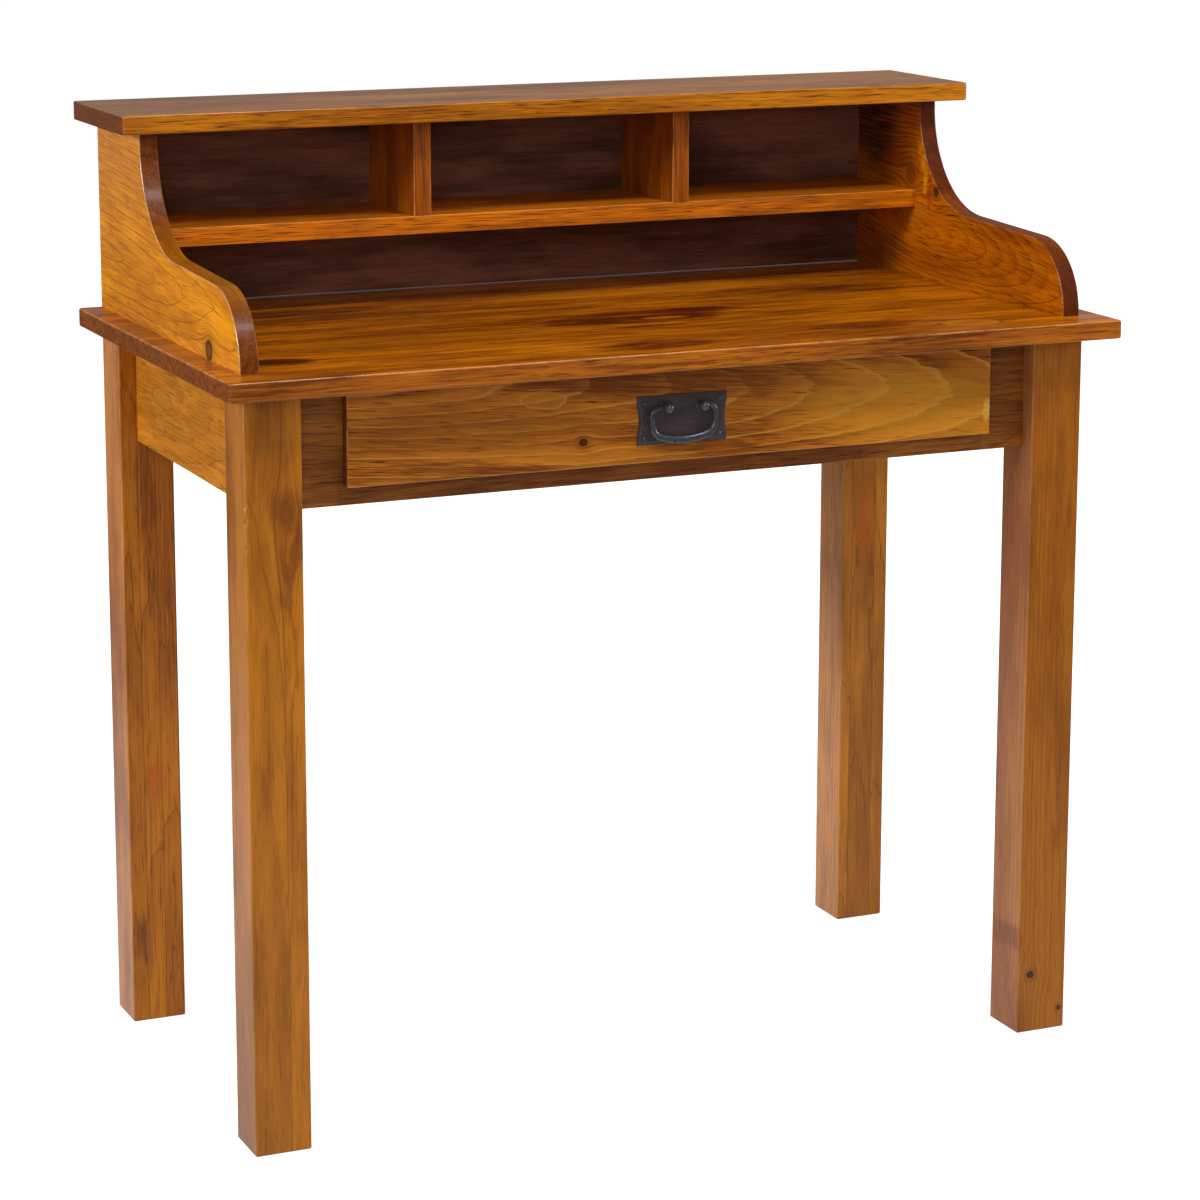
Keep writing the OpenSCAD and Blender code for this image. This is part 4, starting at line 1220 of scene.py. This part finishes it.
@dataclass
class DeskBase(Assembly):
    """The worktop on its four legs and aprons."""

    worktop_ease: float = 0.002
    corner: float = 0.004
    leg_ease: float = 0.002
    foot_ease: float = 0.001
    apron_ease: float = 0.0008
    opening_x: float = 0.3375
    opening_z: tuple[float, float] = (0.656, 0.724)
    chip_z: tuple[float, float] = (0.588, 0.682)
    chip_rows: int = 34
    chip_depth: float = 0.0028
    chip_fade: float = 0.01

    def worktop(self) -> None:
        """Builds the worktop with rounded corners and eased long edges."""
        blank = Blank()
        blank.slab("worktop", self.corner, self.worktop_ease, (1.0, 0.2))
        self.show(blank, "worktop_top", WORKTOP, "worktop")

    def leg(self, name: str, finish: Finish, chipped: bool) -> None:
        """Builds a square leg.

        Args:
            name: Its CAD node.
            finish: Its finish.
            chipped: Whether its outer front edge is chipped.
        """
        blank = Blank()
        blank.box(*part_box(name))
        blank.ease(blank.edges(lambda e: span(e, Axis.Z) > 0.1), self.leg_ease)
        blank.ease(blank.edges(lambda e: far_end(e, Axis.Z) < 0.001), self.foot_ease, 1)
        if chipped:
            self.chip(blank, Vector(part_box(name)[0]))
        self.show(blank, name + "_post", finish, name)

    def chip(self, blank: Blank, corner: Vector) -> None:
        """Tears small chips out of a leg's upright edge.

        Args:
            blank: The leg.
            corner: A point on that edge's line.
        """
        low, high = self.chip_z
        for row in range(self.chip_rows + 1):
            blank.slice((0, 0, low + (high - low) * row / self.chip_rows), (0, 0, 1))
        for vert in blank.bm.verts:
            out = Vector((vert.co.x - corner.x, vert.co.y - corner.y, 0.0))
            if out.length < self.leg_ease * 1.3 and low < vert.co.z < high:
                bite = noise.noise(Vector((vert.co.x * 300, vert.co.y * 300, vert.co.z * 140)))
                fade = min(1.0, (vert.co.z - low) / self.chip_fade, (high - vert.co.z) / self.chip_fade)
                on_side, on_front = abs(out.x) < TOUCH, abs(out.y) < TOUCH
                inward = Vector((float(not on_side), float(on_side or not on_front), 0.0))
                vert.co += inward * max(0.0, bite) * self.chip_depth * fade

    def ease_foot(self, blank: Blank, level: float) -> None:
        """Eases the lower edges of an apron board."""
        blank.ease([e for e in blank.sharp() if far_end(e, Axis.Z) < level + 0.001], self.apron_ease, 2)

    def front_apron(self) -> None:
        """Builds the front apron between the legs and cuts its drawer opening."""
        lo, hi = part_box("front_apron")
        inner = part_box("leg_front_right")[0][0]
        blank = Blank()
        blank.box((-inner, lo[1], lo[2]), (inner, hi[1], hi[2]))
        for side in (-self.opening_x, self.opening_x):
            blank.slice((side, 0, 0), (1, 0, 0))
        for height in self.opening_z:
            blank.slice((0, 0, height), (0, 0, 1))
        middle = sum(self.opening_z) / 2
        doomed = []
        for face in blank.bm.faces:
            x, _, z = face.calc_center_median()
            if abs(face.normal.y) > 0.9 and abs(x) < self.opening_x and abs(z - middle) < 0.01:
                doomed.append(face)
        bmesh.ops.delete(blank.bm, geom=doomed, context="FACES")
        bmesh.ops.bridge_loops(blank.bm, edges=blank.edges(lambda e: len(e.link_faces) == 1))
        self.ease_foot(blank, lo[2])
        self.show(blank, "front_apron_rail", APRON, "front_apron")

    def rail(self, node: str, lo: Point, hi: Point, finish: Finish) -> None:
        """Builds a plain apron board.

        Args:
            node: Its CAD node.
            lo: Its lowest corner between the legs.
            hi: Its highest corner between the legs.
            finish: Its finish.
        """
        blank = Blank()
        blank.box(lo, hi)
        self.ease_foot(blank, lo[2])
        self.show(blank, node + "_rail", finish, node)

    def aprons(self) -> None:
        """Builds the side and back aprons."""
        lo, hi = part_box("back_apron")
        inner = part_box("leg_back_right")[0][0]
        self.rail("back_apron", (-inner, lo[1], lo[2]), (inner, hi[1], hi[2]), APRON)
        front_y, back_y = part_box("leg_front_left")[1][1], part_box("leg_back_left")[0][1]
        for node in ("left_apron", "right_apron"):
            lo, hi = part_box(node)
            self.rail(node, (lo[0], front_y, lo[2]), (hi[0], back_y, hi[2]), SIDE_APRON)

    def build(self) -> None:
        """Builds the base and dresses the parts that stay hidden under it."""
        self.worktop()
        self.leg("leg_front_left", LEG_FRONT_LEFT, True)
        self.leg("leg_front_right", LEG_FRONT_RIGHT, False)
        self.leg("leg_back_left", LEG_BACK_LEFT, False)
        self.leg("leg_back_right", LEG_BACK_RIGHT, False)
        self.front_apron()
        self.aprons()
        self.dress(BOX_WOOD, "runner_left", "runner_right", "kicker_left", "kicker_right", "top_buttons")
        self.dress(STEEL, "top_button_screws")


@dataclass
class PigeonholeRack(Assembly):
    """The low rack on the worktop: curved sides, shelf, dividers, cap and dark back."""

    worktop_z: float = 0.762
    cap_z: float = 0.957
    front_y: float = -0.2065
    top_y: float = 0.101
    round_centre: tuple[float, float] = (-0.1345, 0.7645)
    hollow_centre: tuple[float, float] = (-0.009, 0.951)
    hollow_radius: float = 0.110
    tilt: float = 2.00282
    rebate: tuple[float, float] = (0.010, 0.009)
    side_ease: float = 0.0014
    board_ease: float = 0.001
    cap_corner: float = 0.004
    cap_ease: float = 0.0015

    def outline(self, bm: bmesh.types.BMesh, x: float) -> BMFace:
        """Draws a side panel's outline.

        Args:
            bm: The mesh to draw in.
            x: The plane of the outline.

        Returns:
            The outline's face.
        """
        back_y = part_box("rack_side_left")[1][1]
        (round_y, round_z), (hollow_y, hollow_z) = self.round_centre, self.hollow_centre
        lean = math.radians(self.tilt)
        foot_y = hollow_y + self.hollow_radius * math.sin(lean)
        foot_z = hollow_z - self.hollow_radius * math.cos(lean)
        pen = Trace(bm, (1, 0, 0), (x, self.front_y, self.worktop_z))
        pen.run((x, self.front_y, round_z))
        pen.sweep((x, round_y, round_z), -(90 - self.tilt), 20)
        pen.run((x, foot_y, foot_z))
        pen.sweep((x, hollow_y, hollow_z), 90 - self.tilt, 24)
        pen.run((x, self.top_y, self.cap_z), (x, back_y, self.cap_z), (x, back_y, self.worktop_z))
        return pen.close()

    def side(self, node: str, finish: Finish) -> None:
        """Builds a side panel: the outline is drawn on the outer face and pushed inwards in two steps.

        Args:
            node: Its CAD node.
            finish: Its finish.
        """
        lo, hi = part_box(node)
        outer_x, inner_x = (lo[0], hi[0]) if lo[0] < 0 else (hi[0], lo[0])
        width, depth = self.rebate
        rebate_y = hi[1] - depth
        way = math.copysign(1.0, inner_x - outer_x)
        first = abs(inner_x - outer_x) - width
        blank = Blank()
        moved = blank.push(self.outline(blank.bm, outer_x), (way * first, 0, 0))
        blank.slice((0, rebate_y, 0), (0, 1, 0), moved)
        middles = ((face, face.calc_center_median()) for face in blank.bm.faces)
        inner = next(f for f, at in middles if abs(at.x - outer_x - way * first) < TOUCH and at.y < rebate_y)
        blank.push(inner, (way * width, 0, 0), keep=False)
        blank.turn_outwards()

        def shown(edge: BMEdge) -> bool:
            """Leaves out the joints with the worktop, the cap and the back."""
            heights = [v.co.z for v in edge.verts]
            if max(heights) < self.worktop_z + 1e-5 or min(heights) > self.cap_z - 1e-5:
                return False
            return min(v.co.y for v in edge.verts) < rebate_y - 1e-5 or abs(edge.verts[0].co.x - outer_x) < TOUCH

        for x, wear in ((outer_x, 1.0), (inner_x, 0.3)):
            edges = [e for e in blank.sharp() if shown(e) and abs(e.verts[0].co.x - x) < TOUCH]
            blank.ease(edges, self.side_ease, 3, wear, Axis.X)
        self.show(blank, node + "_panel", finish, node)

    def board(self, node: str, name: str, finish: Finish, lo: Point, hi: Point, along: Axis) -> None:
        """Builds a shelf or a divider with eased front edges.

        Args:
            node: Its CAD node.
            name: The piece's name.
            finish: Its finish.
            lo: Its lowest corner between its neighbours.
            hi: Its highest corner between its neighbours.
            along: The direction of its front edges.
        """
        blank = Blank()
        blank.box(lo, hi)
        front = [e for e in blank.sharp() if far_end(e, Axis.Y) < lo[1] + 1e-4 and span(e, along) > 0.05]
        blank.ease(front, self.board_ease)
        self.show(blank, name, finish, node)

    def boards(self) -> None:
        """Builds the shelf, the dividers and the cap."""
        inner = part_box("rack_side_right")[0][0]
        lo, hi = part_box("rack_shelf")
        self.board("rack_shelf", "shelf", SHELF, (-inner, lo[1], lo[2]), (inner, hi[1], hi[2]), Axis.X)
        top = hi[2]
        for node in ("rack_divider_left", "rack_divider_right"):
            lo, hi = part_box(node)
            self.board(node, node + "_board", DIVIDER, (lo[0], lo[1], top), (hi[0], hi[1], self.cap_z), Axis.Z)
        blank = Blank()
        blank.slab("rack_cap", self.cap_corner, self.cap_ease, (0.35, 0.1))
        self.show(blank, "cap", CAP, "rack_cap")

    def build(self) -> None:
        """Builds the rack."""
        self.side("rack_side_left", SIDE_LEFT)
        self.side("rack_side_right", SIDE_RIGHT)
        self.boards()
        self.dress(DARK_PLY, "rack_back")
        self.dress(STEEL, "rack_side_screws", "rack_back_screws")
        self.dress(BOX_WOOD, "rack_cap_dowels")


@dataclass
class Drawer(Assembly):
    """The shallow drawer: a lipped front on a plain box."""

    body = Body.DRAWER
    lip_y: float = -0.195
    ease: float = 0.00125
    box_in_x: float = 0.324
    box_z: tuple[float, float] = (0.6563, 0.7225)
    overlap: float = 0.001

    def front(self) -> None:
        """Builds the lipped front with its plain tongue behind."""
        lo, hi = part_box("drawer_front")
        blank = Blank()
        blank.box(lo, (hi[0], self.lip_y, hi[2]))
        blank.ease(blank.sharp(), self.ease)
        low, high = self.box_z
        blank.box((-self.box_in_x, self.lip_y - self.overlap, low), (self.box_in_x, hi[1], high))
        self.show(blank, "drawer_front_lip", DRAWER_FRONT, "drawer_front")

    def build(self) -> None:
        """Builds the front and dresses the box."""
        self.front()
        self.dress(BOX_WOOD, "drawer_side_left", "drawer_side_right")
        self.dress(BOX_BOTTOM, "drawer_bottom", "drawer_back")
        self.dress(STEEL, "drawer_pins", "drawer_bottom_screws")


@dataclass
class DrawerPull(Assembly):
    """The iron pull: a waisted plate with nails, two round-headed posts and a hanging bail."""

    body = Body.DRAWER
    plate_y: float = -0.208
    plate_z: float = 0.689
    half_w: float = 0.048
    half_h: float = 0.02425
    waist: float = 0.002
    ear: float = 0.0095
    plate_corner: float = 0.003
    thick: float = 0.0015
    face: float = 0.0005
    rim: tuple[float, float] = (0.0022, 0.0008)
    rim_ease: float = 0.0004
    nail_x: float = 0.0405
    nail_z: float = 0.01775
    post_x: float = 0.019
    post_z: float = 0.702
    head: float = 0.0056
    pivot_y: float = -0.2142
    pivot_in: float = 0.0018
    bail_half: float = 0.0348
    bail_drop: float = 0.0345
    shoulder: float = 0.009
    corner: float = 0.015
    bottom: float = 0.080
    grip: tuple[float, float] = (0.003, 0.0023)
    tip: float = 0.0017
    fullness: float = 0.55

    def plate(self) -> None:
        """Builds the plate: waisted outline, raised face and bevelled rim."""
        blank = Blank()
        half_gap = self.half_h - self.ear
        radius = (half_gap**2 + self.waist**2) / (2 * self.waist)
        swing = math.degrees(2 * math.asin(half_gap / radius))
        x, y, z = self.half_w, self.plate_y, self.plate_z
        pen = Trace(blank.bm, (0, 1, 0), (-x, y, z + self.half_h))
        pen.run((x, y, z + self.half_h), (x, y, z + half_gap))
        pen.sweep((x + radius - self.waist, y, z), -swing, 12)
        pen.run((x, y, z - self.half_h), (-x, y, z - self.half_h), (-x, y, z - half_gap))
        pen.sweep((self.waist - radius - x, y, z), -swing, 12)
        front = blank.push(pen.close(), (0, -self.thick, 0))
        blank.turn_outwards()
        for width, rise in zip(self.rim, (0.0, self.face)):
            bmesh.ops.inset_region(blank.bm, faces=[front], thickness=width, depth=rise, use_even_offset=True)
        outer = x + self.half_h - 1e-5
        corners = blank.edges(lambda e: all(abs(v.co.x) + abs(v.co.z - z) > outer for v in e.verts))
        blank.ease(corners, self.plate_corner, 3, 0.0)
        front_y = y - self.thick + 1e-5
        rims = blank.edges(lambda e: e.calc_face_angle(0.0) > 0.5 and far_end(e, Axis.Y) < front_y)
        blank.ease(rims, self.rim_ease, 2)
        self.show(blank, "pull_backplate", PLATE_IRON, "pull_plate")

    def posts(self) -> None:
        """Builds the two posts with their collars and round heads."""
        face_y = self.plate_y - self.thick - self.face
        collar = [(0.002, -0.0004), (0.0046, -0.0004), (0.0046, 0.0008), (0.0037, 0.0016), (0.0034, 0.0078)]
        for node, x in (("pull_post_left", -self.post_x), ("pull_post_right", self.post_x)):
            lo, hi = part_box(node)
            front, back = face_y - lo[1], face_y - hi[1]
            profile = [(0.0, back), (0.002, back), *collar]
            for angle in map(math.radians, (*range(42, 155, 16), 168)):
                profile.append((self.head * math.sin(angle), front - self.head - self.head * math.cos(angle)))
            blank = Blank()
            blank.lathe([*profile, (0.0, front)], (x, face_y, self.post_z), 36)
            self.show(blank, node + "_turned", BAIL_IRON, node)

    def nails(self) -> None:
        """Builds the four domed plate nails."""
        shank = [(0.0, -0.009), (0.0008, -0.009), (0.0008, 0.0)]
        dome = [(0.0021, 0.0), (0.00195, 0.0005), (0.0015, 0.0009), (0.0008, 0.00115), (0.0, 0.0012)]
        blank = Blank()
        for x in (-self.nail_x, self.nail_x):
            for z in (-self.nail_z, self.nail_z):
                blank.lathe(shank + dome, (x, self.plate_y - self.thick - self.face, self.plate_z + z), 20)
        self.show(blank, "pull_nails", BAIL_IRON, "pull_plate_nails")

    def bail(self) -> None:
        """Sweeps the bail from pivot to pivot."""
        blank = Blank()
        bm = blank.bm
        corner_x = self.bail_half - self.corner
        bend = math.asin(corner_x / (self.bottom - self.corner))
        bottom_z = self.post_z - self.bail_drop + self.bottom
        corner_z = bottom_z - (self.bottom - self.corner) * math.cos(bend)
        bar_x, start_x = self.shoulder - self.bail_half, self.pivot_in - self.post_x
        bar_z = self.post_z - self.shoulder
        ring = bmesh.ops.create_circle(bm, cap_ends=True, radius=1.0, segments=16)["verts"]
        bmesh.ops.rotate(bm, verts=ring, cent=(0, 0, 0), matrix=Matrix.Rotation(math.pi / 2, 3, "Y"))
        bmesh.ops.scale(bm, verts=ring, vec=(self.tip,) * 3)
        bmesh.ops.translate(bm, verts=ring, vec=(start_x, self.pivot_y, self.post_z))
        rings = [list(ring)]

        def rim() -> list[BMEdge]:
            """Lists the edges of the last ring."""
            return blank.edges(lambda e: set(e.verts) <= set(rings[-1]))

        # Each row is a straight run's length, or an arc's centre, with the arc's angle and the number of rings
        end_run = (bar_x - start_x, 0.0, 0.0, 1)
        quarter, turn = -math.pi / 2, bend - math.pi / 2
        rows = (
            end_run,
            (bar_x, bar_z, quarter, 8),
            (0.0, corner_z - bar_z, 0.0, 3),
            (-corner_x, corner_z, turn, 10),
            (0.0, bottom_z, -2 * bend, 16),
            (corner_x, corner_z, turn, 10),
            (0.0, bar_z - corner_z, 0.0, 3),
            (-bar_x, bar_z, quarter, 8),
            end_run,
        )
        for x, z, angle, count in rows:
            for _ in range(count):
                made = bmesh.ops.extrude_edge_only(bm, edges=rim())["geom"]
                verts = [item for item in made if isinstance(item, BMVert)]
                if angle:
                    part = Matrix.Rotation(angle / count, 3, "Y")
                    bmesh.ops.rotate(bm, verts=verts, cent=(x, self.pivot_y, z), matrix=part)
                else:
                    bmesh.ops.translate(bm, verts=verts, vec=(x / count, 0, z / count))
                rings.append(verts)
        bmesh.ops.contextual_create(bm, geom=rim())
        self.swell(rings)
        self.show(blank, "pull_bail_forged", BAIL_IRON, "pull_bail", body=Body.BAIL)

    def swell(self, rings: list[list[BMVert]]) -> None:
        """Swells the bail towards the middle of the grip, and most on its inner side.

        Args:
            rings: The rings from pivot to pivot.
        """
        centres = [sum((v.co for v in ring), Vector()) / len(ring) for ring in rings]
        steps = ((b - a).length for a, b in zip(centres, centres[1:]))
        lengths = list(accumulate(steps, initial=0.0))
        hub_z = self.post_z - 0.4 * self.bail_drop
        for ring, centre, length in zip(rings, centres, lengths):
            share = max(0.0, 1 - (2 * length / lengths[-1] - 1) ** 2)
            in_plane, through = (1 + (half / self.tip - 1) * share for half in self.grip)
            for vert in ring:
                off = vert.co - centre
                inside = off.z * (hub_z - centre.z) - off.x * centre.x > TOUCH
                fuller = in_plane * (1.0 + self.fullness * math.sqrt(share) * inside)
                vert.co = centre + Vector((off.x * fuller, off.y * through, off.z * fuller))

    def build(self) -> None:
        """Builds the pull."""
        self.plate()
        self.posts()
        self.nails()
        self.bail()
        self.dress(STEEL, "pull_nuts")


@dataclass(frozen=True)
class Softbox:
    """A square-cornered lamp, aimed at a point on the desk."""

    name: str
    place: Point
    power: float
    size: tuple[float, float]
    aim: Point = (0.0, 0.0, 0.65)

    def build(self) -> None:
        """Adds the lamp."""
        lamp = bpy.data.lights.new(self.name, "AREA")
        lamp.shape = "RECTANGLE"
        lamp.size, lamp.size_y = self.size
        lamp.energy = self.power
        holder = add_object(self.name, lamp)
        holder.location = self.place
        holder.rotation_euler = (Vector(self.aim) - Vector(self.place)).to_track_quat("-Z", "Y").to_euler()


@dataclass
class Studio:
    """The pale floor, the white surround, the lamps and the camera."""

    ambient: float = 0.30
    floor_half: float = 7.0
    floor_drop: float = 0.0006
    floor_tone: tuple[float, float, float, float] = (0.7, 0.7, 0.7, 1.0)
    focal_length: float = 106.195
    shift: float = -0.13
    camera_place: Point = (-1.452155, -3.281129, 1.319892)
    camera_turn: Point = (1.3797805309295654, -0.0016780198784545064, -0.4177057147026062)
    lamps: tuple[Softbox, ...] = (
        Softbox("overhead_softbox", (0.6, -1.9, 3.55), 62.0, (0.6, 0.6)),
        Softbox("left_softbox", (-5.0, -0.9, 2.4), 165.0, (0.8, 1.2)),
        Softbox("right_softbox", (3.1, -1.25, 1.5), 36.0, (0.5, 0.8)),
        Softbox("front_fill", (-1.9, -4.2, 1.9), 48.0, (1.8, 1.8)),
    )

    def floor(self) -> None:
        """Lays the pale floor, lifted towards white for the camera but still shaded by the desk."""
        bm = bmesh.new()
        bmesh.ops.create_grid(bm, x_segments=1, y_segments=1, size=self.floor_half)
        bmesh.ops.translate(bm, verts=bm.verts, vec=(0, 0, -self.floor_drop))
        mesh = bpy.data.meshes.new("studio_floor")
        bm.to_mesh(mesh)
        bm.free()
        ground = add_object("studio_floor", mesh)
        material = bpy.data.materials.new("studio_floor")
        material.use_nodes = True
        graph = Graph(material.node_tree)
        x, y, _ = graph.split(graph.read("TexCoord", "Object"))
        far = graph.length(x, y)
        lifted = graph.read("LightPath", "Is Camera Ray") * far.step(0.9, 2.0, 0.75, 1.0)
        shaded = graph.node("BsdfDiffuse", {"Color": self.floor_tone})
        lit = graph.node("AddShader", {0: shaded, 1: graph.node("Emission", {"Strength": lifted})})
        glossed = graph.node("Emission", {"Strength": far.step(0.7, 2.6, 0.75, 0.02)})
        graph.end(graph.node("MixShader", {0: graph.mirrored(), 1: lit, 2: glossed}))
        mesh.materials.append(material)

    def surround(self) -> None:
        """Makes the world: white to the camera, a white sweep behind the desk to the gloss, soft to the rest."""
        world = bpy.data.worlds.new("studio")
        bpy.context.scene.world = world
        world.use_nodes = True
        graph = Graph(world.node_tree)
        sweep = graph.split(graph.read("TexCoord", "Generated"))[1].step(-0.2, 0.6, 0.02, 0.25)
        unseen = graph.blend(graph.mirrored(), self.ambient, sweep)
        strength = graph.blend(graph.read("LightPath", "Is Camera Ray"), unseen, 1.0)
        graph.end(graph.node("Background", {"Color": (1.0, 1.0, 1.0, 1.0), "Strength": strength}), "OutputWorld")

    def camera(self) -> None:
        """Sets up the camera at the photograph's viewing angle."""
        lens = bpy.data.cameras.new("camera")
        lens.sensor_width = 36.0
        lens.lens = self.focal_length
        lens.shift_y = self.shift
        lens.clip_start, lens.clip_end = 0.1, 60.0
        holder = add_object("camera", lens)
        holder.location = self.camera_place
        holder.rotation_euler = self.camera_turn
        bpy.context.scene.camera = holder

    def build(self) -> None:
        """Sets up the whole studio."""
        bpy.context.scene.view_settings.view_transform = "Standard"
        self.floor()
        self.surround()
        for lamp in self.lamps:
            lamp.build()
        self.camera()


def main() -> None:
    """Builds the desk's pieces in order and sets up the studio."""
    logging.basicConfig(level=logging.INFO, format="%(name)s: %(message)s")
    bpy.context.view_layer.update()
    palette = Palette()
    for assembly in (DeskBase, PigeonholeRack, Drawer, DrawerPull):
        assembly(palette).build()
    Studio().build()
    bpy.context.view_layer.update()


if __name__ == "__main__":
    main()
